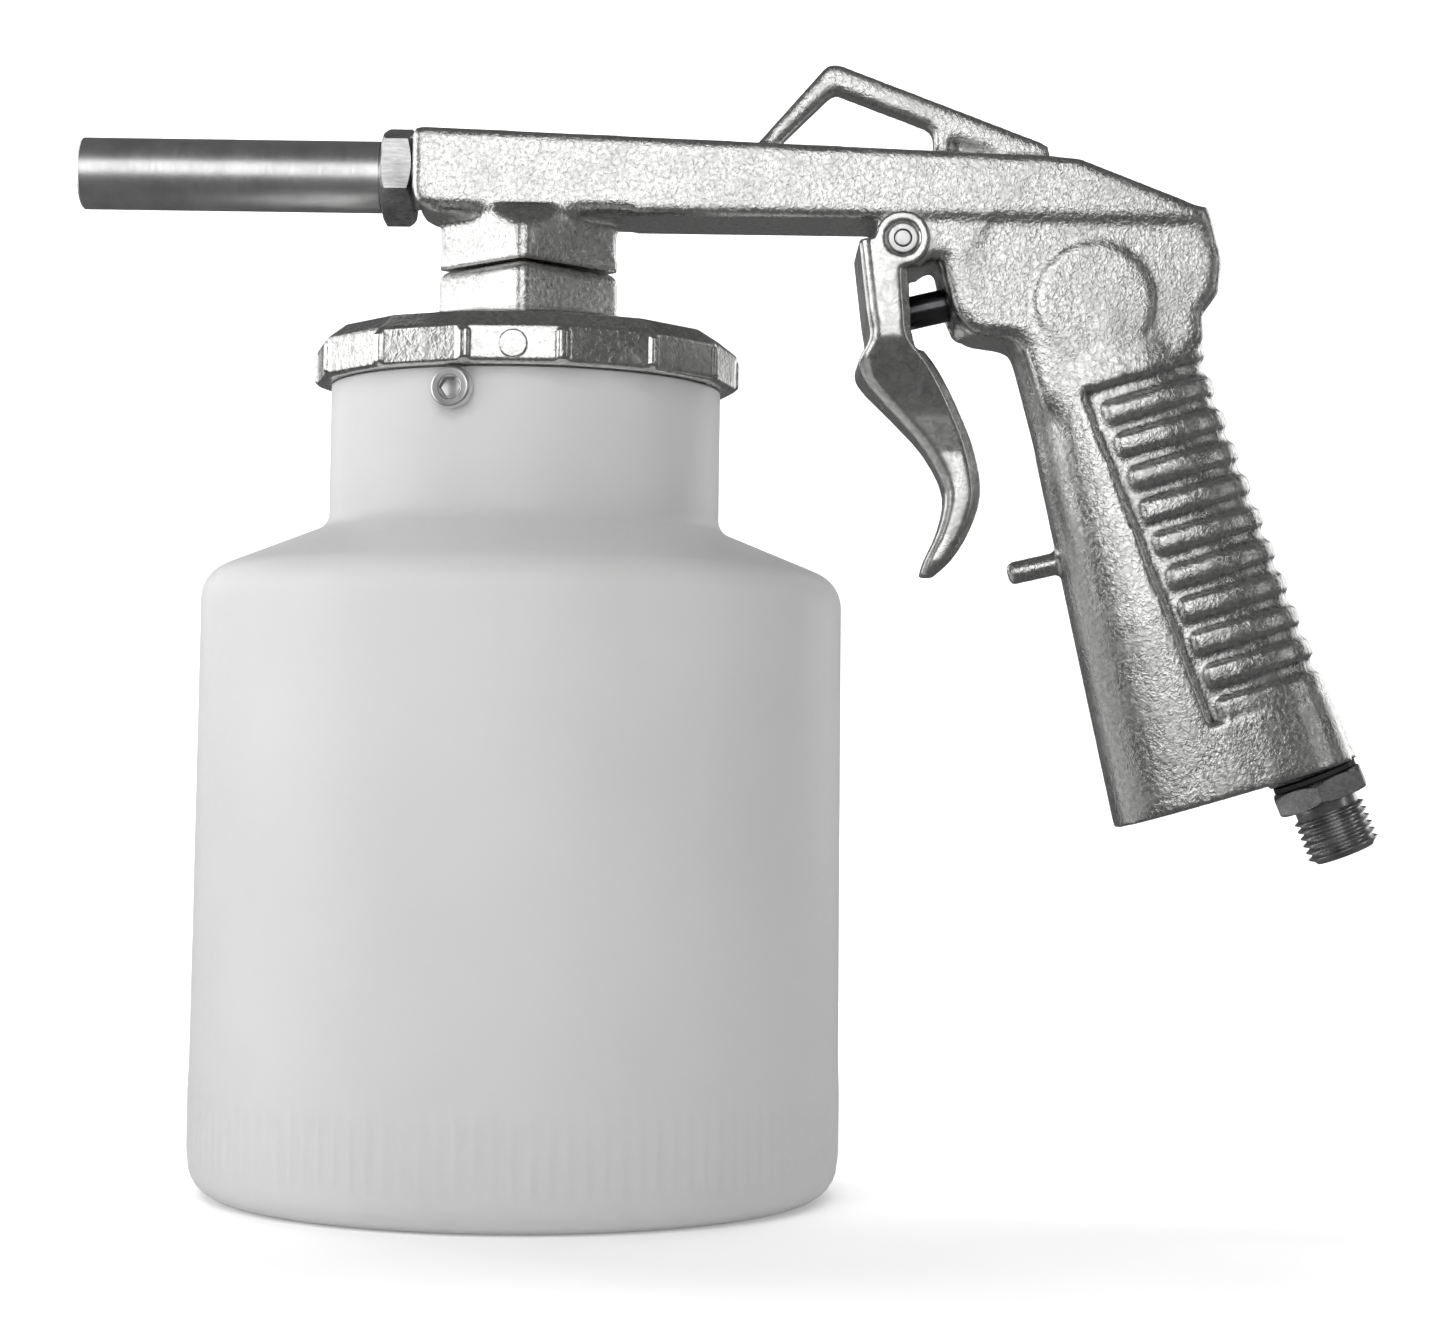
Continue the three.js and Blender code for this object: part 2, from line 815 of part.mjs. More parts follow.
function makeHeadDisc() {
  const reach = head.width / 2 + head.discProud;
  return acrossY(rod(head.disc / 2, -reach, reach, fine), head.discX, head.discZ);
}

function makeDiscGroove() {
  const floor = head.width / 2 - head.grooveDepth;
  const inner = head.disc / 2;
  const outer = inner + head.grooveWidth;
  const near = rod(outer, floor, floor + 3, fine).add(rod(outer, -floor - 3, -floor, fine));
  return acrossY(near.subtract(rod(inner, -30, 30, fine)), head.discX, head.discZ);
}

// Lug between the trigger's cheeks.
function makeLug() {
  const outline = [
    [62.6, barrel.bottom + 2],
    [62.6, 168],
    [65, 166],
    [70.4, 166],
    [75, 169],
    [78, 166],
    [84, barrel.bottom + 2],
  ].map(([x, z]) => new THREE.Vector2(x, z));
  return slab(outline, barrel.width - 1.2, 0.6);
}

// Ends of the grip's sections: front, rear and width, each moved in by the inset.
const gripEnds = [
  { front: [85.6, 156], rear: [120.4, 163], width: grip.topWidth },
  { front: [88, 149], rear: [120.8, 157.4], width: grip.topWidth },
  { front: [91.7, 135.4], rear: [124.3, 145.4], width: grip.topWidth + 2 },
  { front: [99.4, 100.9], rear: [136.9, 112.4], width: grip.bottomWidth },
  { front: [107.1, 66.5], rear: [149.6, 79.5], width: grip.bottomWidth },
];

function gripSection({ front, rear, width }, inset, count = 32) {
  const squareness = 2.7;
  const a = new THREE.Vector3(front[0], 0, front[1]);
  const b = new THREE.Vector3(rear[0], 0, rear[1]);
  const middle = a.clone().add(b).multiplyScalar(0.5);
  const along = b.clone().sub(a);
  const reach = along.length() / 2 - inset;
  along.normalize();
  const points = [];
  for (let k = 0; k < count; k++) {
    const angle = (2 * Math.PI * k) / count;
    const bulge = (v) => Math.sign(v) * Math.abs(v) ** (2 / squareness);
    const point = middle.clone().addScaledVector(along, reach * bulge(Math.cos(angle)));
    point.y = (width / 2 - inset) * bulge(Math.sin(angle));
    points.push(point);
  }
  return points;
}

function makeGripLoft(inset = 0) {
  return loft(gripEnds.map((end) => gripSection(end, inset)).reverse());
}

const ribAlong = new THREE.Vector2(Math.cos(rad(grip.ribTilt)), Math.sin(rad(grip.ribTilt)));
const panelCorners = [
  [98.9, 144],
  [122, 84.6],
]; // upper and lower front corners of the panel

// Sunk panel round the back of the grip, with raised bars across it.
function cutPanel(body) {
  const reach = 45;
  const [top, low] = panelCorners.map(([x, z]) => new THREE.Vector2(x, z));
  const outline = [
    top,
    low,
    low.clone().addScaledVector(ribAlong, reach),
    top.clone().addScaledVector(ribAlong, reach),
  ];
  const band = slab(outline, 2 * grip.bottomWidth);
  let made = body.subtract(band.subtract(makeGripLoft(grip.panelDepth)));
  const skin = makeGripLoft(0.1);
  const down = low.clone().sub(top).normalize();
  const inner = new THREE.Vector2(3.4, 0);
  for (let k = 0; k < grip.ribs; k++) {
    const start = top.clone().add(inner).addScaledVector(down, 2.6 + k * grip.ribPitch);
    const end = start.clone().addScaledVector(ribAlong, reach);
    const across = new THREE.Vector2(-ribAlong.y, ribAlong.x).multiplyScalar(-grip.rib);
    const bar = [start, start.clone().add(across), end.clone().add(across), end];
    made = made.add(slab(bar, 2 * grip.bottomWidth).intersect(skin));
  }
  return made;
}

function makePeg() {
  const along = peg.root.clone().sub(peg.tip);
  const pin = turned(
    [
      [0, -peg.radius],
      [peg.radius, -peg.radius, peg.radius * 0.9],
      [peg.radius, along.length()],
      [0, along.length()],
    ],
    coarse,
  );
  return placed(pin, frameOf(peg.tip, Math.atan2(along.x, along.z)));
}

function makeNose() {
  const nose = turned(
    [
      [0, valve.nose],
      [valve.noseRadius, valve.nose, 2.5],
      [valve.noseRadius + 1, valve.nose + 12],
      [0, valve.nose + 16],
    ],
    medium,
  );
  return placed(nose, valveFrame);
}

// Everything bored for the valve, from the nose to the plug at the back.
const packingFront = valve.nose + valve.glandLength + 2 * faceGap;
const packingEnd = packingFront + valve.packingLength;

function makeValveBores() {
  const gland = valve.gland / 2 + slideGap;
  const plug = valve.plugBore / 2;
  const bores = turned(
    [
      [0, valve.nose - overrun - 4],
      [gland, valve.nose - overrun - 4],
      [gland, packingEnd + faceGap],
      [valve.stem / 2 + slideGap, packingEnd + faceGap],
      [valve.stem / 2 + slideGap, valve.chamberStart],
      [valve.chamber / 2, valve.chamberStart],
      [valve.chamber / 2, valve.seat - faceGap],
      [plug, valve.seat - faceGap],
      [plug, valve.plugEnd + 6],
      [0, valve.plugEnd + 6],
    ],
    medium,
  );
  return placed(bores, valveFrame);
}

function makeInletBores() {
  const toValve = 88;
  const bores = turned(
    [
      [0, -overrun],
      [inlet.spigot / 2 + slideGap, -overrun],
      [inlet.spigot / 2 + slideGap, inlet.spigotLength + 1],
      [grip.passage / 2, inlet.spigotLength + 3],
      [grip.passage / 2, toValve - 26],
      [3.5, toValve - 20],
      [3.5, toValve],
      [0, toValve],
    ],
    medium,
  );
  return placed(bores, inletFrame);
}

function makeBarrelBores() {
  const start = barrel.front - overrun;
  const bores = turned(
    [
      [0, start],
      [nozzle.thread / 2 + slideGap, start],
      [nozzle.thread / 2 + slideGap, nozzle.threadEnd + faceGap],
      [jet.chamber / 2, nozzle.threadEnd + faceGap],
      [jet.chamber / 2, jet.seat],
      [jet.thread / 2 + slideGap, jet.seat],
      [jet.thread / 2 + slideGap, jet.seat + jet.threadLength + 1],
      [jet.passage / 2, jet.seat + jet.threadLength + 1],
      [jet.passage / 2, duct.x + duct.bore / 2],
      [0, duct.x + duct.bore / 2],
    ],
    medium,
  );
  return alongX(bores, nozzle.axis);
}

function makeBody() {
  const collar = placed(rod(inlet.collarRadius, 0, inlet.collarHeight + 6), inletFrame);
  const foot = barrelTop(duct.x) - duct.plugLength;
  const ductLow = valve.origin.z + (duct.x - valve.origin.x) * Math.tan(rad(valve.tilt));
  const ductBore = rod(duct.bore / 2, ductLow, foot + 1, coarse)
    .add(rod(duct.plug / 2 + slideGap, foot - faceGap, foot + 12, coarse));
  const shift = new THREE.Matrix4().makeTranslation(duct.x, 0, 0);
  const suctionBore = rod(union.shank / 2 + slideGap, boss.seam - overrun, boss.seam + union.reach + 1);
  const suctionPort = rod(union.bore / 2, boss.seam, nozzle.axis, coarse);
  const outside = makeBarrelBlock()
    .add(makeHook())
    .add(makeBodyBoss())
    .add(makeHeadBlock())
    .add(makeHeadDisc())
    .add(makeLug())
    .add(makeGripLoft())
    .add(makePeg())
    .add(makeNose())
    .add(collar);
  return cutPanel(outside.subtract(makeDiscGroove()))
    .subtract(makeBarrelBores())
    .subtract(makeValveBores())
    .subtract(makeInletBores())
    .subtract(placed(ductBore, shift))
    .subtract(suctionBore)
    .subtract(suctionPort)
    .subtract(acrossY(rod(trigger.pin / 2 + slideGap, -20, 20, coarse), pivot.x, pivot.z));
}

function makeDuctPlug() {
  const top = barrelTop(duct.x);
  const plug = turned(
    [
      [0, top - duct.plugLength],
      [duct.plug / 2, top - duct.plugLength],
      [duct.plug / 2, top + duct.plugProud, 0.8],
      [0, top + duct.plugProud],
    ],
    coarse,
  );
  return placed(plug, new THREE.Matrix4().makeTranslation(duct.x, 0, 0));
}

addPart(gunGroup, "gun_body", makeBody(), castAluminium);
addPart(gunGroup, "duct_plug", makeDuctPlug(), castAluminium);

// ---------- nozzle and air jet ----------

function makeNozzleTube() {
  const outer = nozzle.outer / 2;
  const inner = nozzle.inner / 2;
  const made = turned(
    [
      [inner, nozzle.tip],
      [outer, nozzle.tip, 0.4],
      [outer, nozzle.shoulder],
      [nozzle.thread / 2, nozzle.shoulder],
      [nozzle.thread / 2, nozzle.threadEnd],
      [inner, nozzle.threadEnd],
    ],
    medium,
  );
  return alongX(made, nozzle.axis);
}

function makeLockNut() {
  const rear = barrel.front - faceGap;
  const nut = hexagon(nozzle.nutHex, rear - nozzle.nutThickness, rear, 90 + nozzle.nutTurn);
  const bore = rod(nozzle.thread / 2 + slideGap, rear - 20, rear + 20);
  return alongX(nut.subtract(bore), nozzle.axis);
}

function makeAirJet() {
  const headFront = jet.seat - jet.washerThickness - 2 * faceGap - 3;
  const headRear = jet.seat - jet.washerThickness - 2 * faceGap;
  const made = turned(
    [
      [jet.tipInner / 2, jet.tip],
      [jet.tipOuter / 2, jet.tip],
      [jet.tipOuter / 2 + 0.6, headFront],
      [jet.hex / 2, headFront],
      [jet.hex / 2, headRear],
      [jet.thread / 2 - 0.6, headRear],
      [jet.thread / 2 - 0.6, jet.seat + faceGap],
      [jet.thread / 2, jet.seat + faceGap],
      [jet.thread / 2, jet.seat + jet.threadLength],
      [jet.passage / 2 - 0.6, jet.seat + jet.threadLength],
      [jet.passage / 2 - 0.6, headRear],
      [jet.tipInner / 2, headFront],
    ],
    medium,
  );
  return alongX(made, nozzle.axis);
}

function makeJetWasher() {
  const rear = jet.seat - faceGap;
  const inner = jet.thread / 2 - 0.6 + slideGap;
  return alongX(tube(jet.chamber / 2 - slideGap, inner, rear - jet.washerThickness, rear), nozzle.axis);
}

addPart(gunGroup, "nozzle_tube", makeNozzleTube(), turnedSteel);
addPart(gunGroup, "nozzle_lock_nut", makeLockNut(), turnedSteel);
addPart(gunGroup, "air_jet", makeAirJet(), brass);
addPart(gunGroup, "air_jet_washer", makeJetWasher(), fibre);

// ---------- trigger ----------

const cheekInner = barrel.width / 2 + slideGap * 2;
const cheekOuter = cheekInner + trigger.wall;

// One level of the trigger: a rectangle with cut corners.
function triggerSection([z, front, rear, share]) {
  const half = cheekOuter * share;
  const cut = Math.min(2, (rear - front) * 0.28);
  return [
    [front, -half + cut],
    [front + cut * 0.35, -half + cut * 0.35],
    [front + cut, -half],
    [rear - cut, -half],
    [rear, -half + cut],
    [rear, half - cut],
    [rear - cut, half],
    [front + cut, half],
    [front + cut * 0.35, half - cut * 0.35],
    [front, half - cut],
  ].map(([x, y]) => new THREE.Vector3(x, y, z));
}

// The given sections with more between them on a smooth curve.
function refinedSections(sections, steps) {
  const edges = sections.map(([z, front, rear]) => new THREE.Vector3(front, rear, z));
  const curve = new THREE.CatmullRomCurve3(edges, false, "centripetal");
  const count = (sections.length - 1) * steps;
  const refined = [];
  for (let i = 0; i <= count; i++) {
    const at = curve.getPoint(i / count);
    const from = Math.min(Math.floor(i / steps), sections.length - 2);
    const share = THREE.MathUtils.lerp(sections[from][3], sections[from + 1][3], i / steps - from);
    refined.push([at.z, at.x, at.y, share]);
  }
  return refined;
}

function makeTrigger() {
  const blade = loft(refinedSections(triggerSections, 3).map(triggerSection).reverse());
  const eyes = acrossY(rod(trigger.eyeRadius, -cheekOuter, cheekOuter), pivot.x, pivot.z);
  const floor = trigger.channelFloor;
  const web = trigger.webThickness;
  const channel = slab(
    [
      [60.8 + web, 180],
      [59.2 + web, 170.6],
      [60.8 + web, 157.5],
      [61.6 + web, 153.5],
      [66, floor],
      [90, floor],
      [90, 180],
    ].map(([x, z]) => new THREE.Vector2(x, z)),
    2 * cheekInner,
  );
  const recess = rod(trigger.pinFlange / 2, cheekOuter - trigger.recess, cheekOuter + overrun, coarse)
    .add(rod(trigger.pinFlange / 2, -cheekOuter - overrun, trigger.recess - cheekOuter, coarse))
    .add(rod(trigger.pin / 2 + slideGap, -30, 30, coarse));
  return blade.add(eyes).subtract(channel).subtract(acrossY(recess, pivot.x, pivot.z));
}

// The pin ends in the middle of each recess, held by a ring pressed on to it.
function makeTriggerPin() {
  return acrossY(rod(trigger.pin / 2, -cheekOuter + 0.1, cheekOuter - 0.1, coarse), pivot.x, pivot.z);
}

function makeClip(side) {
  const low = cheekOuter - trigger.recess + 0.15;
  const clip = tube(trigger.pinFlange / 2 - 0.5, trigger.pin / 2 + 0.1, low, low + 0.4, coarse);
  const turn = new THREE.Matrix4().makeRotationX(side > 0 ? 0 : Math.PI);
  return acrossY(placed(clip, turn), pivot.x, pivot.z);
}

addPart(triggerGroup, "trigger", makeTrigger(), castAluminium);
addPart(gunGroup, "trigger_pin", makeTriggerPin(), turnedSteel);
addPart(gunGroup, "trigger_pin_clip_near", makeClip(1), darkSteel);
addPart(gunGroup, "trigger_pin_clip_far", makeClip(-1), darkSteel);

// ---------- valve, laid along its own line ----------

const poppetFront = valve.seat + valve.seatLength + faceGap + valve.sealLength + faceGap;
const poppetEnd = poppetFront + valve.poppetLength;
const springRadius = 3.4;

function makeStem() {
  return turned(
    [
      [0, valve.stemFront],
      [valve.stem / 2, valve.stemFront, 1.6],
      [valve.stem / 2, valve.chamberStart + 1],
      [valve.neck / 2, valve.chamberStart + 3],
      [valve.neck / 2, poppetFront],
      [valve.poppet / 2, poppetFront],
      [valve.poppet / 2, poppetEnd],
      [valve.tail / 2, poppetEnd],
      [valve.tail / 2, poppetEnd + valve.tailLength],
      [0, poppetEnd + valve.tailLength],
    ],
    medium,
  );
}

function makeGlandNut() {
  const front = valve.nose + 0.6;
  const nut = tube(valve.gland / 2, valve.stem / 2 + slideGap, front, front + valve.glandLength);
  const slot = new THREE.BoxGeometry(1.4, valve.gland * 2, 1.6);
  return nut.subtract(solid(slot.translate(0, 0, front)));
}

function makeSpring() {
  const low = poppetEnd + faceGap + valve.springWire / 2;
  const high = valve.plugFront - faceGap - valve.springWire / 2;
  const turns = valve.springTurns;
  const points = [];
  const steps = turns * 10;
  for (let k = 0; k <= steps; k++) {
    const angle = (2 * Math.PI * turns * k) / steps;
    const z = low + ((high - low) * k) / steps;
    points.push(new THREE.Vector3(springRadius * Math.cos(angle), springRadius * Math.sin(angle), z));
  }
  const wire = new THREE.Shape();
  wire.absarc(0, 0, valve.springWire / 2, 0, 2 * Math.PI, false);
  const geometry = new THREE.ExtrudeGeometry(wire, {
    steps,
    curveSegments: 3,
    bevelEnabled: false,
    extrudePath: new THREE.CatmullRomCurve3(points),
  });
  return solid(geometry);
}

function makeRearPlug() {
  const plug = turned(
    [
      [0, valve.plugFront],
      [valve.plug / 2 - 1, valve.plugFront],
      [valve.plug / 2, valve.plugFront + 1.8],
      [valve.plug / 2, valve.plugEnd, 0.5],
      [0, valve.plugEnd],
    ],
    medium,
  );
  return plug.subtract(hexagon(valve.plugSocket, valve.plugEnd - 3, valve.plugEnd + overrun));
}

addPart(valveGroup, "valve_stem", makeStem(), darkSteel);
addPart(valveGroup, "valve_gland_nut", makeGlandNut(), brass);
addPart(
  valveGroup,
  "valve_packing",
  tube(valve.gland / 2 - slideGap, valve.stem / 2 + slideGap, packingFront + 0.6, packingEnd, medium),
  sealRubber,
);
addPart(
  valveGroup,
  "valve_seat",
  tube(valve.seatOuter / 2, valve.seatBore / 2, valve.seat, valve.seat + valve.seatLength, medium),
  brass,
);
addPart(
  valveGroup,
  "valve_seal",
  tube(
    valve.poppet / 2,
    valve.neck / 2 + slideGap,
    poppetFront - faceGap - valve.sealLength,
    poppetFront - faceGap,
    medium,
  ),
  sealRubber,
);
addPart(valveGroup, "valve_spring", makeSpring(), turnedSteel);
addPart(valveGroup, "valve_rear_plug", makeRearPlug(), turnedSteel);

// ---------- air inlet ----------

function makeInletNipple() {
  const hexTopZ = -inlet.washerThickness - 2 * faceGap;
  const hexLowZ = hexTopZ - inlet.hexThickness;
  const profile = [
    [inlet.bore / 2, inlet.spigotLength],
    [inlet.spigot / 2, inlet.spigotLength],
    [inlet.spigot / 2, hexTopZ - 1],
    [inlet.neck / 2, hexTopZ - 1],
    [inlet.neck / 2, hexLowZ - inlet.neckLength],
  ];
  let z = hexLowZ - inlet.neckLength;
  for (let k = 0; k < inlet.crests; k++) {
    profile.push([inlet.threadRoot / 2, z]);
    profile.push([inlet.thread / 2, z - inlet.threadPitch / 2]);
    z -= inlet.threadPitch;
  }
  profile.push([inlet.threadRoot / 2, z]);
  profile.push([inlet.bore / 2 + 1, z]);
  profile.push([inlet.bore / 2, z + 1]);
  const hex = hexagon(inlet.hex, hexLowZ, hexTopZ, 17);
  const bore = rod(inlet.bore / 2, -60, 60);
  return turned(profile.reverse(), medium).add(hex).subtract(bore);
}

function makeInletWasher() {
  const top = -faceGap;
  const outer = inlet.collarRadius - 0.6;
  return tube(outer, inlet.spigot / 2 + slideGap, top - inlet.washerThickness, top);
}

addPart(inletGroup, "air_inlet_nipple", makeInletNipple(), turnedSteel);
addPart(inletGroup, "air_inlet_washer", makeInletWasher(), fibre);

export default airGun;
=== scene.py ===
import math

import bpy
from mathutils import Matrix, Vector


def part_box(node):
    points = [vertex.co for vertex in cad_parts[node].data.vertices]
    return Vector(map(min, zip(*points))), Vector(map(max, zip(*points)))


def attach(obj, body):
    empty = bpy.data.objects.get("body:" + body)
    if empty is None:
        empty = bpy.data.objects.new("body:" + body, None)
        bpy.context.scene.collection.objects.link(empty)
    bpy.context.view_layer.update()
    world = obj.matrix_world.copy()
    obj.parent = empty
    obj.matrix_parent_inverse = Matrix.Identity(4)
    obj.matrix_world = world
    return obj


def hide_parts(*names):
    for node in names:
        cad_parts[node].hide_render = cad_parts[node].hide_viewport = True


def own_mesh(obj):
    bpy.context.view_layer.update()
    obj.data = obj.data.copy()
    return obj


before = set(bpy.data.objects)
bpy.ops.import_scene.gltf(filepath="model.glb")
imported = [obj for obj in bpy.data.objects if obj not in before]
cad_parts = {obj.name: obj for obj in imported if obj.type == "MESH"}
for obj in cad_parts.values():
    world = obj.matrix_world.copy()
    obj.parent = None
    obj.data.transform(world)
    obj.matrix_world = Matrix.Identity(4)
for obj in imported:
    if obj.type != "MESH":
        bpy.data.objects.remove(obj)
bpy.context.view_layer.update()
scene = bpy.context.scene
print("frame loaded:", len(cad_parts), "nodes")


def mm(value):
    return value / 1000


def clearSelection():
    if bpy.context.object and bpy.context.object.mode != "OBJECT":
        bpy.ops.object.mode_set(mode="OBJECT")
    bpy.ops.object.select_all(action="DESELECT")


def pick(piece):
    clearSelection()
    piece.select_set(True)
    bpy.context.view_layer.objects.active = piece


# camera: level with the middle of the bottle, a touch below the barrel, looking slightly up
cameraSetup = {
    "place": (0.0361, -0.550, 0.075),
    "lookUp": 2.02,  # degrees
    "roll": 0.8,
    "lens": 76.05,
    "sensor": 36,
}
cameraData = bpy.data.cameras.new("studioCamera")
cameraData.lens = cameraSetup["lens"]
cameraData.sensor_width = cameraSetup["sensor"]
cameraData.sensor_fit = "HORIZONTAL"
cameraData.clip_start = 0.01
camera = bpy.data.objects.new("studioCamera", cameraData)
scene.collection.objects.link(camera)
turn = Matrix.Rotation(math.radians(90 + cameraSetup["lookUp"]), 4, "X")
turn = turn @ Matrix.Rotation(math.radians(cameraSetup["roll"]), 4, "Z")
camera.matrix_world = Matrix.Translation(Vector(cameraSetup["place"])) @ turn
scene.camera = camera

# materials

def linear(hexColour):
    values = [int(hexColour[i:i + 2], 16) / 255 for i in (1, 3, 5)]
    values = [v / 12.92 if v <= 0.04045 else ((v + 0.055) / 1.055) ** 2.4 for v in values]
    return (*values, 1)


def addNode(tree, kind, inputs=None, links=None, stops=None, **settings):
    node = tree.nodes.new(kind)
    for name, value in settings.items():
        setattr(node, name, value)
    for name, value in (inputs or {}).items():
        node.inputs[name].default_value = value
    for name, (source, output) in (links or {}).items():
        tree.links.new(source.outputs[output], node.inputs[name])
    for i, (place, colour) in enumerate(stops or []):
        element = node.color_ramp.elements[i] if i < 2 else node.color_ramp.elements.new(place)
        element.position = place
        element.color = linear(colour)
    return node


def newMaterial(name):
    material = bpy.data.materials.new(name)
    material.use_nodes = True
    tree = material.node_tree
    tree.nodes.clear()
    shader = addNode(tree, "ShaderNodeBsdfPrincipled")
    addNode(tree, "ShaderNodeOutputMaterial", links={"Surface": (shader, "BSDF")})
    place = addNode(tree, "ShaderNodeTexCoord")
    return material, tree, shader, place


castFinish = {
    "dark": "#bcbcbb",
    "light": "#e2e2e0",
    "pebble": 0.8,  # mm between the pebbles of the skin
    "wave": 6.0,  # mm between the soft hollows
    "depth": 0.13,  # mm
    "waveDepth": 0.14,
}


def castMaterial(name, look, smooth, rough):
    # die-cast aluminium, tumbled: a bright skin of fine soft pebbles over slow hollows
    material, tree, shader, place = newMaterial(name)
    pebbles = addNode(tree, "ShaderNodeTexNoise",
                      {"Scale": 1000 / look["pebble"], "Detail": 3, "Roughness": 0.6, "Distortion": 0.8},
                      {"Vector": (place, "Object")})
    hollows = addNode(tree, "ShaderNodeTexNoise", {"Scale": 1000 / look["wave"], "Detail": 2},
                      {"Vector": (place, "Object")})
    tint = addNode(tree, "ShaderNodeValToRGB", links={"Fac": (pebbles, "Fac")},
                   stops=[(0.32, look["dark"]), (0.62, look["light"])])
    # painted shade: hollows and creases, found from the mesh's pointiness, are darkened to near black in the
    # base colour, standing in for the shade that falls in them
    shape = addNode(tree, "ShaderNodeNewGeometry")
    paintedCreaseShade = addNode(tree, "ShaderNodeValToRGB", links={"Fac": (shape, "Pointiness")},
                      stops=[(0.44, "#262626"), (0.494, "#ffffff")])
    colour = addNode(tree, "ShaderNodeMix", {0: 1.0}, {6: (tint, "Color"), 7: (paintedCreaseShade, "Color")},
                     data_type="RGBA", blend_type="MULTIPLY")
    dull = addNode(tree, "ShaderNodeMapRange",
                   {"From Min": 0.3, "From Max": 0.7, "To Min": rough[0], "To Max": rough[1]},
                   {"Value": (hollows, "Fac")})
    slow = addNode(tree, "ShaderNodeBump", {"Strength": 1.0, "Distance": mm(look["waveDepth"] * smooth)},
                   {"Height": (hollows, "Fac")})
    fine = addNode(tree, "ShaderNodeBump", {"Strength": 1.0, "Distance": mm(look["depth"] * smooth)},
                   {"Height": (pebbles, "Fac"), "Normal": (slow, "Normal")})
    tree.links.new(colour.outputs[2], shader.inputs["Base Color"])
    tree.links.new(dull.outputs["Result"], shader.inputs["Roughness"])
    tree.links.new(fine.outputs["Normal"], shader.inputs["Normal"])
    shader.inputs["Metallic"].default_value = 1.0
    return material


def machinedMaterial(name, light, dark, rough, lines, depth, stretch):
    # turned or brushed metal: fine tool lines that draw the highlights out into streaks
    material, tree, shader, place = newMaterial(name)
    laid = addNode(tree, "ShaderNodeMapping", {"Scale": stretch}, {"Vector": (place, "Object")})
    grain = addNode(tree, "ShaderNodeTexNoise", {"Scale": 1000 / lines, "Detail": 4, "Roughness": 0.6},
                    {"Vector": (laid, "Vector")})
    patches = addNode(tree, "ShaderNodeTexNoise", {"Scale": 160.0, "Detail": 3},
                      {"Vector": (place, "Object")})
    tint = addNode(tree, "ShaderNodeValToRGB", links={"Fac": (patches, "Fac")},
                   stops=[(0.35, dark), (0.6, light)])
    dull = addNode(tree, "ShaderNodeMapRange",
                   {"From Min": 0.3, "From Max": 0.7, "To Min": rough[0], "To Max": rough[1]},
                   {"Value": (grain, "Fac")})
    bump = addNode(tree, "ShaderNodeBump", {"Strength": 1.0, "Distance": mm(depth)},
                   {"Height": (grain, "Fac")})
    tree.links.new(tint.outputs["Color"], shader.inputs["Base Color"])
    tree.links.new(dull.outputs["Result"], shader.inputs["Roughness"])
    tree.links.new(bump.outputs["Normal"], shader.inputs["Normal"])
    shader.inputs["Metallic"].default_value = 1.0
    return material


def plasticMaterial(name, light, dark, rough, depth, grain, glow):
    # moulded polyethylene or rubber: soft sheen, a faint skin texture and light that sinks in
    material, tree, shader, place = newMaterial(name)
    skin = addNode(tree, "ShaderNodeTexNoise", {"Scale": 1000 / grain, "Detail": 3},
                   {"Vector": (place, "Object")})
    clouds = addNode(tree, "ShaderNodeTexNoise", {"Scale": 22.0, "Detail": 2}, {"Vector": (place, "Object")})
    tint = addNode(tree, "ShaderNodeValToRGB", links={"Fac": (clouds, "Fac")},
                   stops=[(0.35, dark), (0.65, light)])
    dull = addNode(tree, "ShaderNodeMapRange",
                   {"From Min": 0.3, "From Max": 0.7, "To Min": rough - 0.05, "To Max": rough + 0.05},
                   {"Value": (skin, "Fac")})
    bump = addNode(tree, "ShaderNodeBump", {"Strength": 1.0, "Distance": mm(depth)},
                   {"Height": (skin, "Fac")})
    tree.links.new(tint.outputs["Color"], shader.inputs["Base Color"])
    tree.links.new(dull.outputs["Result"], shader.inputs["Roughness"])
    tree.links.new(bump.outputs["Normal"], shader.inputs["Normal"])
    shader.inputs["IOR"].default_value = 1.54
    shader.inputs["Subsurface Weight"].default_value = glow
    shader.inputs["Subsurface Radius"].default_value = (1.0, 1.0, 1.0)
    shader.inputs["Subsurface Scale"].default_value = mm(6)
    return material


castAluminium = castMaterial("tumbledCastAluminium", castFinish, 1.0, (0.2, 0.32))
polishedCasting = castMaterial(
    "polishedCastAluminium", {**castFinish, "pebble": 1.6, "wave": 8.0}, 0.3, (0.22, 0.34))
ringCasting = castMaterial(
    "handledCastAluminium", {**castFinish, "pebble": 1.1, "wave": 4.0}, 0.6, (0.14, 0.3))
turnedAlongX = machinedMaterial(
    "turnedBrightSteel", "#e2e2e2", "#cfcfcf", (0.3, 0.42), 0.5, 0.006, (1.0, 0.15, 0.15))
turnedAboutZ = machinedMaterial(
    "turnedMirrorLid", "#cfcfcf", "#9d9d9d", (0.08, 0.2), 0.5, 0.004, (0.2, 0.2, 1.0))
brushedSteel = machinedMaterial(
    "brushedSteel", "#cacaca", "#a2a2a2", (0.22, 0.38), 0.35, 0.01, (0.15, 1.0, 1.0))
darkSteel = machinedMaterial(
    "oiledDarkSteel", "#5e5e60", "#3c3c3e", (0.14, 0.26), 0.5, 0.004, (0.2, 1.0, 1.0))
brass = machinedMaterial("turnedBrass", "#c9a75c", "#a88645", (0.18, 0.32), 0.5, 0.004, (1.0, 0.2, 0.2))
bottlePlastic = plasticMaterial("blownPolyethylene", "#cbcbcb", "#c7c7c7", 0.46, 0.02, 1.4, 0.55)
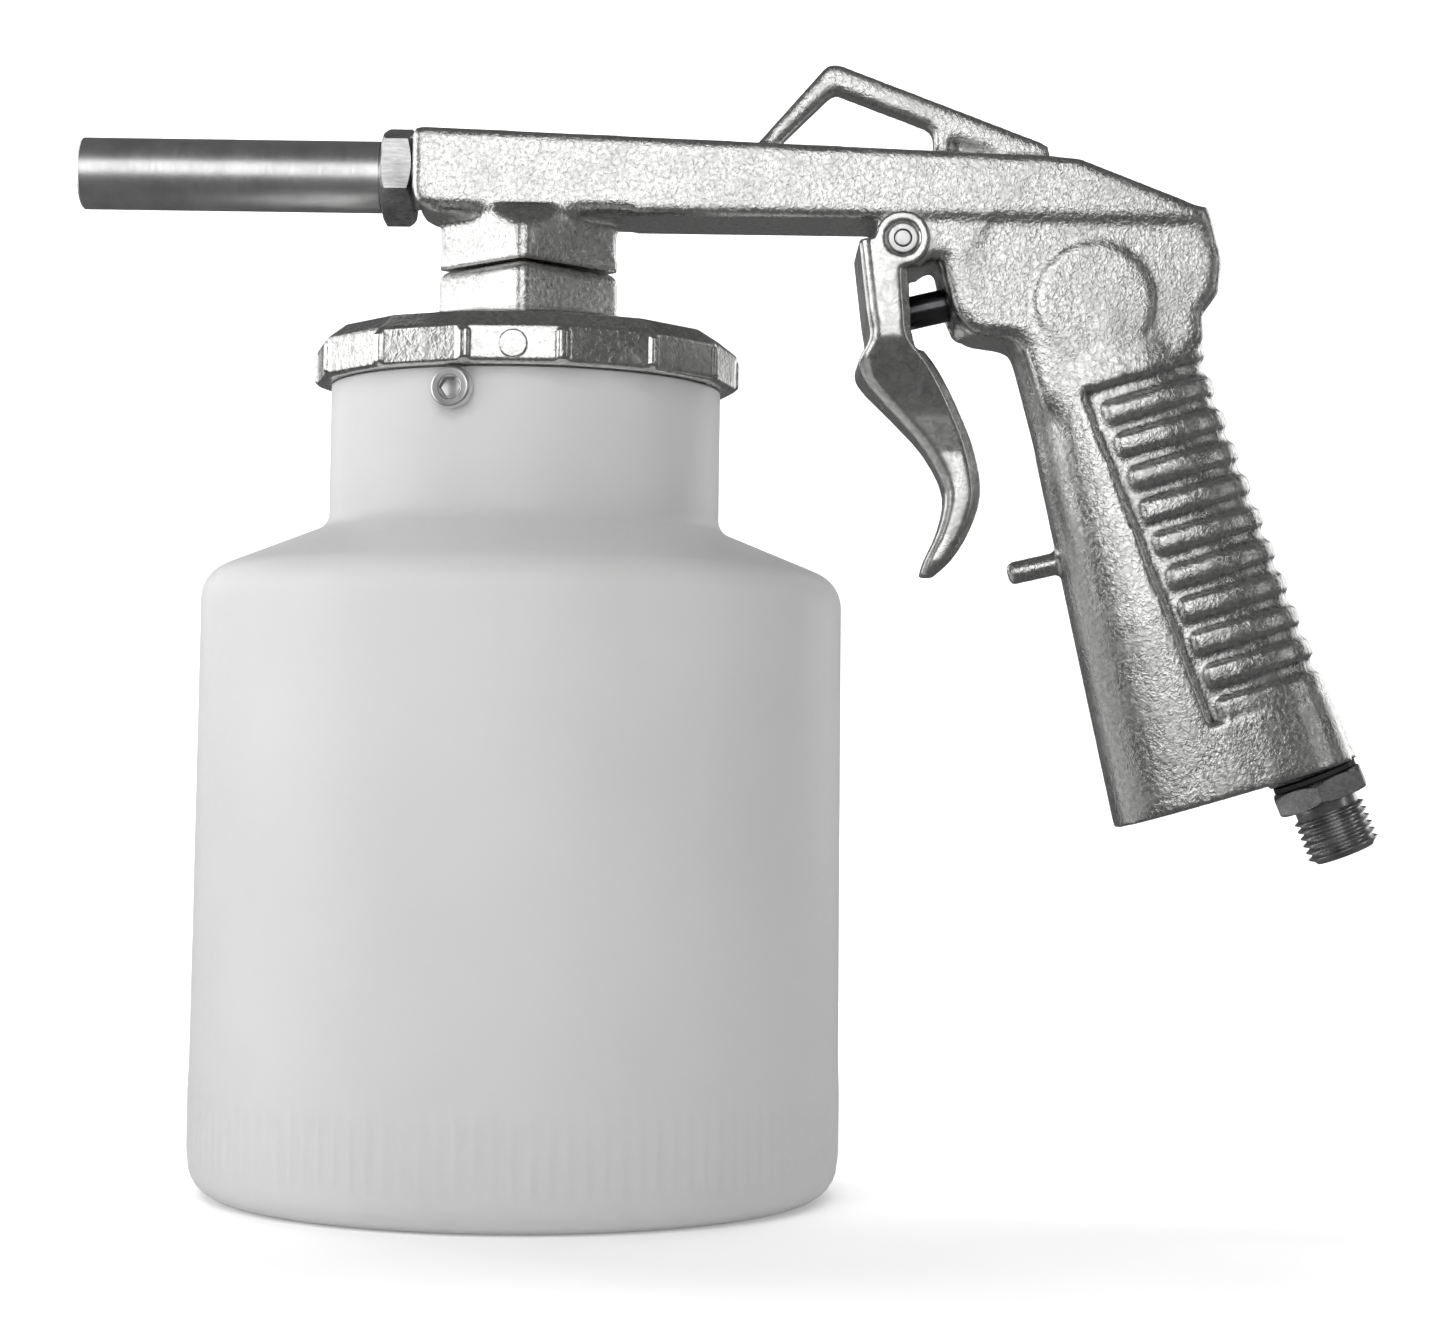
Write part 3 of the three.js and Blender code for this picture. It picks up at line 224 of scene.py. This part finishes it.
tubePlastic = plasticMaterial("drawnPolyethylene", "#d8d8d2", "#cfcfc8", 0.4, 0.01, 1.0, 0.4)
sealRubber = plasticMaterial("nitrileRubber", "#2c2c2c", "#222222", 0.7, 0.02, 0.8, 0.0)
fibre = plasticMaterial("vulcanisedFibre", "#93503f", "#7c4032", 0.8, 0.03, 0.5, 0.0)
print("materials ready")

# ways of making


def wear(piece, material, slotName, body, *nodes):
    # gives a finished piece its finish and its place in the frame
    piece.data.materials.clear()
    piece.data.materials.append(material)
    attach(piece, body)
    if nodes:
        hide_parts(*nodes)
    return piece


def mergedCopy(name, node):
    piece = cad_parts[node].copy()
    piece.data = piece.data.copy()
    piece.name = name
    piece.parent = None
    for key in list(piece.keys()):
        del piece[key]
    scene.collection.objects.link(piece)
    pick(piece)
    bpy.ops.object.mode_set(mode="EDIT")
    bpy.ops.mesh.select_all(action="SELECT")
    bpy.ops.mesh.remove_doubles(threshold=mm(0.004))
    bpy.ops.object.mode_set(mode="OBJECT")
    return piece


def softCasting(name, node, voxel, rounds):
    # a cast shape with the soft corners that the mould leaves
    piece = mergedCopy(name, node)
    remesh = piece.modifiers.new("skin", "REMESH")
    remesh.mode = "VOXEL"
    remesh.voxel_size = mm(voxel)
    remesh.use_smooth_shade = True
    bpy.ops.object.modifier_apply(modifier="skin")
    smooth = piece.modifiers.new("soften", "SMOOTH")
    smooth.factor = 0.5
    smooth.iterations = rounds
    bpy.ops.object.modifier_apply(modifier="soften")
    bpy.ops.object.shade_smooth()
    return piece


def widenFillet(piece, low, high, rounds):
    # smooths only the points inside a box given in millimetres
    for vertex in piece.data.vertices:
        point = vertex.co * 1000
        vertex.select = all(low[i] < point[i] < high[i] for i in range(3))
    for edge in piece.data.edges:
        edge.select = all(piece.data.vertices[i].select for i in edge.vertices)
    for polygon in piece.data.polygons:
        polygon.select = all(piece.data.vertices[i].select for i in polygon.vertices)
    pick(piece)
    bpy.ops.object.mode_set(mode="EDIT")
    bpy.ops.mesh.vertices_smooth(factor=0.5, repeat=rounds)
    bpy.ops.object.mode_set(mode="OBJECT")


def bevelEdges(piece, width, segments=2, angle=30):
    pick(piece)
    bevel = piece.modifiers.new("edges", "BEVEL")
    bevel.width = mm(width)
    bevel.segments = segments
    bevel.limit_method = "ANGLE"
    bevel.angle_limit = math.radians(angle)
    bpy.ops.object.modifier_apply(modifier="edges")
    bpy.ops.object.shade_smooth_by_angle(angle=math.radians(32))
    return piece


def arcProfile(corners, step=12):
    # [radius, height, rounding] corners as a finer line of points
    line = []
    for i, corner in enumerate(corners):
        here = Vector(corner[:2])
        rounding = corner[2] if len(corner) > 2 else 0
        if not rounding or i in (0, len(corners) - 1):
            line.append(here)
            continue
        back = (Vector(corners[i - 1][:2]) - here).normalized()
        on = (Vector(corners[i + 1][:2]) - here).normalized()
        half = back.angle(on) / 2
        start = here + back * rounding / math.tan(half)
        centre = here + (back + on).normalized() * rounding / math.sin(half)
        spoke = start - centre
        sweep = math.pi - 2 * half
        count = max(2, round(math.degrees(sweep) / step))
        way = 1 if back.x * on.y - back.y * on.x < 0 else -1
        for k in range(count + 1):
            angle = way * sweep * k / count
            line.append(centre + Matrix.Rotation(angle, 2) @ spoke)
    return line


def turnedPiece(name, corners, steps=96):
    # a profile drawn point by point and spun about the upright axis
    line = [Vector((mm(p[0]), 0, mm(p[1]))) for p in arcProfile(corners)]
    clearSelection()
    bpy.ops.mesh.primitive_plane_add(size=mm(1))
    piece = bpy.context.object
    piece.name = name
    bpy.ops.object.mode_set(mode="EDIT")
    bpy.ops.mesh.select_all(action="SELECT")
    bpy.ops.mesh.merge(type="CENTER")
    bpy.ops.transform.translate(value=line[0])
    for before, after in zip(line, line[1:]):
        bpy.ops.mesh.extrude_vertices_move(TRANSFORM_OT_translate={"value": after - before})
    bpy.ops.mesh.select_all(action="SELECT")
    bpy.ops.mesh.spin(steps=steps, angle=2 * math.pi, center=(0, 0, 0), axis=(0, 0, 1))
    bpy.ops.mesh.select_all(action="SELECT")
    bpy.ops.mesh.remove_doubles(threshold=mm(0.002))
    bpy.ops.mesh.normals_make_consistent(inside=False)
    bpy.ops.object.mode_set(mode="OBJECT")
    bpy.ops.object.shade_smooth_by_angle(angle=math.radians(32))
    return piece


def hexBar(name, acrossFlats, low, high, turned=30):
    # a hexagon with its corners turned off at both ends, a flat towards the side
    radius = acrossFlats / math.sqrt(3)
    clearSelection()
    bpy.ops.mesh.primitive_cylinder_add(vertices=6, radius=mm(radius), depth=mm(high - low),
                                        location=(0, 0, mm(low + high) / 2),
                                        rotation=(0, 0, math.radians(turned)))
    piece = bpy.context.object
    piece.name = name
    bpy.ops.object.transform_apply(location=True, rotation=True, scale=True)
    bpy.ops.object.mode_set(mode="EDIT")
    bpy.ops.mesh.select_all(action="SELECT")
    bpy.ops.mesh.subdivide(number_cuts=3)
    bpy.ops.object.mode_set(mode="OBJECT")
    cut = radius - acrossFlats / 2 + 0.25
    form = turnedPiece(name + "Form", [
        (0, low), (acrossFlats / 2 - 0.2, low), (radius + 0.2, low + cut * 0.62),
        (radius + 0.2, high - cut * 0.62), (acrossFlats / 2 - 0.2, high), (0, high),
    ])
    combine(piece, form, "INTERSECT")
    return piece


def combine(piece, other, way):
    pick(piece)
    join = piece.modifiers.new("join", "BOOLEAN")
    join.operation = way
    join.solver = "EXACT"
    join.object = other
    bpy.ops.object.modifier_apply(modifier="join")
    bpy.data.objects.remove(other)
    return piece


def settle(piece, place=(0, 0, 0), turns=()):
    # turns a finished form from the upright axis to its own line, then fixes its place
    matrix = Matrix.Identity(4)
    for axis, degrees in turns:
        matrix = Matrix.Rotation(math.radians(degrees), 4, axis) @ matrix
    pick(piece)
    piece.matrix_world = Matrix.Translation(Vector(place)) @ matrix
    bpy.ops.object.transform_apply(location=True, rotation=True, scale=True)
    return piece


def millimetres(node):
    low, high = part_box(node)
    return low * 1000, high * 1000


# cast body

bodyLook = {
    "voxel": 0.66,
    "rounds": 2,
    # where the mould's fillets are wide: low corner, high corner, rounds of smoothing
    "fillets": [
        ((83, -20, 133), (97.5, 20, 155), 30),
        ((-19, -20, 167.5), (19, 20, 176), 24),
        ((71, -20, 150), (83, 20, 172), 10),
        ((84, -20, 170), (124, 20, 178.5), 5),
        ((36, -4, 188), (101, 4, 205), 6),
    ],
}
castBody = softCasting("castBody", "gun_body", bodyLook["voxel"], bodyLook["rounds"])
for low, high, rounds in bodyLook["fillets"]:
    widenFillet(castBody, low, high, rounds)
wear(castBody, castAluminium, "cast_body", "gun", "gun_body")

# trigger

triggerLook = {"voxel": 0.34, "rounds": 14}
wear(softCasting("castTrigger", "trigger", triggerLook["voxel"], triggerLook["rounds"]),
     polishedCasting, "cast_trigger", "trigger", "trigger")
print("trigger softened")

# clamp ring with its two pins

ringLook = {"voxel": 0.36, "rounds": 3}
wear(softCasting("castRing", "clamp_ring", ringLook["voxel"], ringLook["rounds"]),
     ringCasting, "cast_ring", "clamp_ring", "clamp_ring")
for side in ("front", "back"):
    node = "clamp_ring_pin_" + side
    low, high = millimetres(node)
    middle = (low + high) / 2
    depth = high.y - low.y
    pin = turnedPiece("ringPin" + side.capitalize(), [
        (0, -depth / 2), (1.5, -depth / 2), (1.5, depth / 2 - 0.7),
        (2.5, depth / 2 - 0.7), (2.5, depth / 2, 0.35), (0, depth / 2),
    ], 32)
    settle(pin, middle / 1000, [("X", 90 if side == "front" else -90)])
    wear(pin, ringCasting, "cast_ring", "clamp_ring", node)
print("clamp ring done")

# bottle

bottleLook = {
    "wall": 2.2,
    "cornerRound": 6.0,
    "shoulderRound": 6.5,
    "neckRound": 3.5,
    "ribFoot": 5.5,  # the moulded ribs near the base, mm above it
    "ribTop": 20.0,
    "ribs": 120,
    "ribDepth": 0.16,
    "steps": 480,
}


def makeBottle():
    look = bottleLook
    wall = look["wall"]
    foot, top, neck = 58.0, 57.3, 35.0
    shoulder, neckFoot, rim = 109.5, 118.6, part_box("bottle")[1].z * 1000
    corners = [
        (0, 0), (foot - 0.25, 0, look["cornerRound"]), (foot - 0.25, look["ribFoot"] + 1.5),
        (foot - 0.15, look["ribFoot"] + 3), (foot - 0.15, look["ribTop"] - 2), (foot - 0.05, look["ribTop"]),
        (foot - 0.2, look["ribTop"] + 4), (top + 0.05, 96),
        (top, shoulder, look["shoulderRound"]), (neck, neckFoot, look["neckRound"]), (neck, 143.75),
        (33.4, 143.75), (33.4, 144.6), (34.3, 145.1), (34.3, 145.6), (33.4, 146.1), (33.4, rim),
        (31.4, rim), (31.4, neckFoot - 1.3, look["neckRound"]),
        (top - wall, shoulder - 1.6, look["shoulderRound"]),
        (foot - wall, wall, look["cornerRound"] - 1.5), (0, wall),
    ]
    bottle = turnedPiece("blownBottle", corners, look["steps"])
    # every fourth column of the lower band stands proud as a faint rib
    step = 2 * math.pi / look["ribs"]
    for vertex in bottle.data.vertices:
        height = vertex.co.z * 1000
        radius = math.hypot(vertex.co.x, vertex.co.y) * 1000
        turned = math.atan2(vertex.co.y, vertex.co.x) / step
        onRib = abs(turned - round(turned)) < 0.1
        inBand = look["ribFoot"] + 1 < height < look["ribTop"] - 1 and radius > foot - 1
        vertex.select = onRib and inBand
    for polygon in bottle.data.polygons:
        polygon.select = False
    for edge in bottle.data.edges:
        edge.select = all(bottle.data.vertices[i].select for i in edge.vertices)
    pick(bottle)
    bpy.ops.object.mode_set(mode="EDIT")
    grow = 1 + look["ribDepth"] / foot
    bpy.ops.transform.resize(value=(grow, grow, 1), center_override=(0, 0, 0))
    bpy.ops.object.mode_set(mode="OBJECT")
    return bottle


wear(makeBottle(), bottlePlastic, "bottle_plastic", "bottle", "bottle")
print("bottle blown")

# vent screw on the neck, with a hexagon socket

ventLook = {"head": 7.2, "headHeight": 1.8, "socket": 3.4, "socketDepth": 1.5, "angle": 17, "height": 140.1}


def makeVentScrew():
    look = ventLook
    top = look["headHeight"] + 0.25
    screw = turnedPiece("ventScrew", [
        (0, -7.2), (2, -7.2), (2, 0.25), (look["head"] / 2, 0.25), (look["head"] / 2, top, 0.6),
        (look["socket"] / 2 + 0.5, top), (look["socket"] / 2 + 0.3, top - 0.15), (0, top - 0.15),
    ], 48)
    socket = hexBar("socketTool", look["socket"], top - look["socketDepth"], top + 2)
    combine(screw, socket, "DIFFERENCE")
    bpy.ops.object.shade_smooth_by_angle(angle=math.radians(32))
    angle = math.radians(look["angle"])
    place = (-mm(35) * math.sin(angle), -mm(35) * math.cos(angle), mm(look["height"]))
    return settle(screw, place, [("X", 90), ("Z", -look["angle"])])


wear(makeVentScrew(), turnedAlongX, "turned_steel", "bottle", "bottle_vent_screw")

# lid: a turned cone with the square boss of the joint on it

lidLook = {"side": 24.0}


def makeLid():
    low, high = millimetres("lid")
    flange = (high.x - low.x) / 2
    cone = turnedPiece("turnedLidCone", [
        (5.1, 153.2), (26, 153.2), (29.1, 150), (flange, 150, 0.3), (flange, 151.5, 0.3), (31, 151.5),
        (31, 153.3, 0.3), (30.4, 153.75), (15, 157.2), (5.1, 157.2), (5.1, 153.2),
    ], 144)
    clearSelection()
    bossLow = 155.2
    bpy.ops.mesh.primitive_cube_add(size=1, location=(0, 0, mm(bossLow + high.z) / 2),
                                    rotation=(0, 0, math.radians(45)))
    boss = bpy.context.object
    boss.name = "lidBoss"
    boss.scale = (mm(lidLook["side"]), mm(lidLook["side"]), mm(high.z - bossLow))
    bpy.ops.object.transform_apply(location=True, rotation=True, scale=True)
    for vertex in boss.data.vertices:
        vertex.select = False
    for edge in boss.data.edges:
        ends = [boss.data.vertices[i].co.z for i in edge.vertices]
        edge.select = abs(ends[0] - ends[1]) > 0.001
    for polygon in boss.data.polygons:
        polygon.select = False
    bpy.ops.object.mode_set(mode="EDIT")
    bpy.ops.mesh.select_mode(type="EDGE")
    bpy.ops.mesh.bevel(offset=mm(2.2), segments=5, affect="EDGES")
    bpy.ops.mesh.select_mode(type="VERT")
    bpy.ops.object.mode_set(mode="OBJECT")
    bevelEdges(boss, 0.15, 2, 60)
    return cone, boss


lidCone, lidBoss = makeLid()
wear(lidCone, turnedAboutZ, "turned_lid", "gun", "lid")
wear(lidBoss, castAluminium, "cast_body", "gun")
print("lid turned")

# nozzle tube and its lock nut

nozzleLook = {"axis": 182.4, "outer": 12.9, "bore": 9.0, "nutHex": 16.0, "nutTurn": 8}


def makeNozzle():
    low, high = millimetres("nozzle_tube")
    outer, bore = nozzleLook["outer"] / 2, nozzleLook["bore"] / 2
    tube = turnedPiece("nozzleTube", [
        (bore, low.x, 0), (outer - 0.35, low.x), (outer, low.x + 0.35), (outer, -26.9), (5.8, -26.9),
        (5.8, high.x), (bore, high.x), (bore, low.x),
    ], 128)
    return settle(tube, (0, 0, mm(nozzleLook["axis"])), [("Y", 90)])


def makeLockNut():
    low, high = millimetres("nozzle_lock_nut")
    nut = hexBar("lockNut", nozzleLook["nutHex"], low.x, high.x)
    bore = turnedPiece("lockNutBore", [(0, low.x - 2), (6, low.x - 2), (6, high.x + 2), (0, high.x + 2)])
    combine(nut, bore, "DIFFERENCE")
    bpy.ops.object.shade_smooth_by_angle(angle=math.radians(25))
    return settle(nut, (0, 0, mm(nozzleLook["axis"])), [("Y", 90), ("X", -nozzleLook["nutTurn"])])


wear(makeNozzle(), turnedAlongX, "turned_steel", "gun", "nozzle_tube")
wear(makeLockNut(), brushedSteel, "turned_steel", "gun", "nozzle_lock_nut")
print("nozzle done")

# trigger pin with its two clips

pinLook = {"x": 67.0, "z": 170.5, "radius": 1.5}


def makePin():
    low, high = millimetres("trigger_pin")
    half = (high.y - low.y) / 2
    pin = turnedPiece("hingePin", [
        (0, -half), (pinLook["radius"], -half, 0.3), (pinLook["radius"], half, 0.3), (0, half),
    ], 48)
    return settle(pin, (mm(pinLook["x"]), 0, mm(pinLook["z"])), [("X", 90)])


def makeClip(node, name):
    low, high = millimetres(node)
    outer = (high.x - low.x) / 2
    half = (high.y - low.y) / 2
    clip = turnedPiece(name, [
        (1.65, -half), (outer, -half, 0.15), (outer, half, 0.15), (1.65, half), (1.65, -half),
    ], 48)
    return settle(clip, (mm(pinLook["x"]), (low.y + high.y) / 2000, mm(pinLook["z"])), [("X", 90)])


wear(makePin(), turnedAlongX, "turned_steel", "gun", "trigger_pin")
wear(makeClip("trigger_pin_clip_near", "pinClipNear"), turnedAlongX, "turned_steel", "gun",
     "trigger_pin_clip_near")
wear(makeClip("trigger_pin_clip_far", "pinClipFar"), turnedAlongX, "turned_steel", "gun",
     "trigger_pin_clip_far")

# valve stem in the nose

valveLook = {"place": (70.0, 0.0, 159.2), "tilt": 13.5, "stem": 6.0, "front": -6.4}


def makeStem():
    look = valveLook
    stem = turnedPiece("valveStem", [
        (0, look["front"]), (look["stem"] / 2, look["front"], 0.6), (look["stem"] / 2, 27.5),
        (2, 28.5), (2, 33.5),
        (4.3, 34), (4.3, 37), (1.7, 37), (1.7, 41), (0, 41),
    ], 64)
    return settle(stem, Vector(look["place"]) / 1000, [("Y", 90 - look["tilt"])])


wear(makeStem(), darkSteel, "dark_steel", "valve", "valve_stem")

# the return spring, copied from its frame shape with a mesh of its own
valveSpring = mergedCopy("returnSpring", "valve_spring")
bpy.ops.object.shade_smooth_by_angle(angle=math.radians(50))
wear(valveSpring, brushedSteel, "turned_steel", "gun", "valve_spring")
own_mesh(valveSpring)
print("valve stem and spring done")

# air inlet: hexagon, plain neck and pipe thread

inletLook = {
    "place": (142.7, 0.0, 76.9),
    "tilt": 22.5,
    "hex": 16.0,
    "hexThickness": 4.2,
    "neck": 11.4,
    "crest": 13.157,
    "root": 11.3,
    "pitch": 1.337,
    "crests": 6,
    "bore": 7.0,
}


def makeInlet():
    look = inletLook
    hexTop = -0.8 - 0.5
    hexLow = hexTop - look["hexThickness"]
    corners = [(look["bore"] / 2, hexLow + 0.5), (look["neck"] / 2, hexLow + 0.5),
               (look["neck"] / 2, hexLow - 1.6)]
    z = hexLow - 1.6
    for k in range(look["crests"]):
        last = k == look["crests"] - 1
        corners += [(look["root"] / 2, z - 0.1), (look["crest"] / 2 - 0.06, z - 0.56),
                    (look["crest"] / 2 - 0.06, z - 0.74), (look["root"] / 2, z - look["pitch"] + 0.05)]
        z -= look["pitch"]
    corners += [(look["root"] / 2 - 0.4, z - 0.5), (look["bore"] / 2 + 0.4, z - 0.5),
                (look["bore"] / 2, z - 0.1),
                (look["bore"] / 2, hexLow + 0.5)]
    thread = turnedPiece("inletThread", corners, 96)
    settle(thread, Vector(look["place"]) / 1000, [("Y", -look["tilt"])])
    hexagon = hexBar("inletHexagon", look["hex"], hexLow, hexTop, 47)
    bore = turnedPiece("inletBore", [
        (0, hexLow - 2), (look["bore"] / 2, hexLow - 2), (look["bore"] / 2, hexTop + 2), (0, hexTop + 2),
    ])
    combine(hexagon, bore, "DIFFERENCE")
    bpy.ops.object.shade_smooth_by_angle(angle=math.radians(25))
    settle(hexagon, Vector(look["place"]) / 1000, [("Y", -look["tilt"])])
    return thread, hexagon


inletThread, inletHexagon = makeInlet()
wear(inletThread, brushedSteel, "turned_steel", "gun", "air_inlet_nipple")
wear(inletHexagon, brushedSteel, "turned_steel", "gun")
print("air inlet done")

# pieces that keep their frame shape

keptFinishes = {
    "duct_plug": turnedAlongX,
    "air_jet": brass,
    "air_jet_washer": fibre,
    "lid_seal": sealRubber,
    "joint_washer": fibre,
    "union_screw": brass,
    "suction_tube": tubePlastic,
    "valve_gland_nut": darkSteel,
    "valve_packing": sealRubber,
    "valve_seat": brass,
    "valve_rear_plug": brushedSteel,
    "valve_seal": sealRubber,
    "air_inlet_washer": sealRubber,
    "bottle_vent_washer": sealRubber,
    "bottle_vent_nut": brushedSteel,
}
for node, material in keptFinishes.items():
    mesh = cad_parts[node].data
    mesh.materials.clear()
    mesh.materials.append(material)

# floor, backdrop and light

studio = {"width": 5.0, "front": -2.2, "back": 1.6, "height": 2.6, "bend": 0.7}


def makeBackdrop():
    look = studio
    clearSelection()
    bpy.ops.mesh.primitive_plane_add(size=1, location=(0, 0, 0))
    floor = bpy.context.object
    floor.name = "paperSweep"
    floor.scale = (look["width"], look["back"] - look["front"], 1)
    floor.location = (0, (look["back"] + look["front"]) / 2, 0)
    bpy.ops.object.transform_apply(location=True, rotation=True, scale=True)
    backY = look["back"]
    for edge in floor.data.edges:
        edge.select = all(floor.data.vertices[i].co.y > backY - 0.001 for i in edge.vertices)
    for vertex in floor.data.vertices:
        vertex.select = vertex.co.y > backY - 0.001
    for polygon in floor.data.polygons:
        polygon.select = False
    bpy.ops.object.mode_set(mode="EDIT")
    points = [(look["bend"] * math.sin(a), look["bend"] * (1 - math.cos(a)))
              for a in [math.radians(90 * k / 12) for k in range(13)]]
    points.append((look["bend"], look["height"]))
    for (y0, z0), (y1, z1) in zip(points, points[1:]):
        bpy.ops.mesh.extrude_region_move(TRANSFORM_OT_translate={"value": (0, y1 - y0, z1 - z0)})
    bpy.ops.mesh.select_all(action="SELECT")
    bpy.ops.mesh.normals_make_consistent(inside=False)
    bpy.ops.object.mode_set(mode="OBJECT")
    bpy.ops.object.shade_smooth()
    return floor


paper, paperTree, paperShader, paperPlace = newMaterial("whitePaper")
fibres = addNode(paperTree, "ShaderNodeTexNoise", {"Scale": 40.0, "Detail": 2},
                 {"Vector": (paperPlace, "Object")})
paperTint = addNode(paperTree, "ShaderNodeValToRGB", links={"Fac": (fibres, "Fac")},
                    stops=[(0.3, "#f4f4f4"), (0.7, "#f7f7f7")])
paperTree.links.new(paperTint.outputs["Color"], paperShader.inputs["Base Color"])
paperShader.inputs["Roughness"].default_value = 0.9
paperShader.inputs["Emission Color"].default_value = linear("#ffffff")
paperShader.inputs["Emission Strength"].default_value = 0.18
floor = makeBackdrop()
floor.data.materials.append(paper)

# the paper lights the plastic but stays out of the metal's reflections, as black cards do in a studio
floor.visible_glossy = False

lights = [
    # name, place, aimed at, size, watts, seen in the metal
    ("frontSoftbox", (-0.12, -1.15, 0.45), (0.03, 0, 0.14), (0.9, 0.84), 4.0, True),
    ("leftSoftbox", (-0.95, -0.12, 0.22), (0.0, 0, 0.16), (0.9, 0.8), 5.0, True),
    ("rightStrip", (0.95, -0.45, 0.3), (0.05, 0, 0.13), (0.12, 0.7), 0.4, True),
    ("backLeft", (-0.95, 0.85, 0.5), (0.03, 0, 0.14), (0.8, 0.8), 3.0, True),
    ("backRight", (0.95, 0.85, 0.45), (0.03, 0, 0.14), (0.8, 0.8), 3.0, True),
    ("highSoftbox", (-0.15, -0.85, 1.05), (0.03, 0, 0.1), (1.0, 0.45), 6.5, False),
    ("floorWash", (0.0, 0.75, 1.5), (0.0, 0.75, 0.0), (2.6, 0.5), 18.0, False),
    ("backdropWash", (0.0, 0.9, 1.3), (0.0, 2.2, 0.3), (2.2, 0.4), 24.0, False),
]
for name, place, aim, size, watts, inMetal in lights:
    data = bpy.data.lights.new(name, "AREA")
    data.shape = "RECTANGLE"
    data.size, data.size_y = size
    data.energy = watts
    lamp = bpy.data.objects.new(name, data)
    lamp.location = place
    lamp.rotation_euler = (Vector(aim) - Vector(place)).to_track_quat("-Z", "Y").to_euler()
    lamp.visible_glossy = inMetal
    lamp.visible_camera = False
    scene.collection.objects.link(lamp)

world = bpy.data.worlds.new("studioRoom")
world.use_nodes = True
world.node_tree.nodes["Background"].inputs["Color"].default_value = linear("#ffffff")
world.node_tree.nodes["Background"].inputs["Strength"].default_value = 0.12
scene.world = world
scene.view_settings.view_transform = "Standard"
print("studio ready")

bpy.context.view_layer.update()
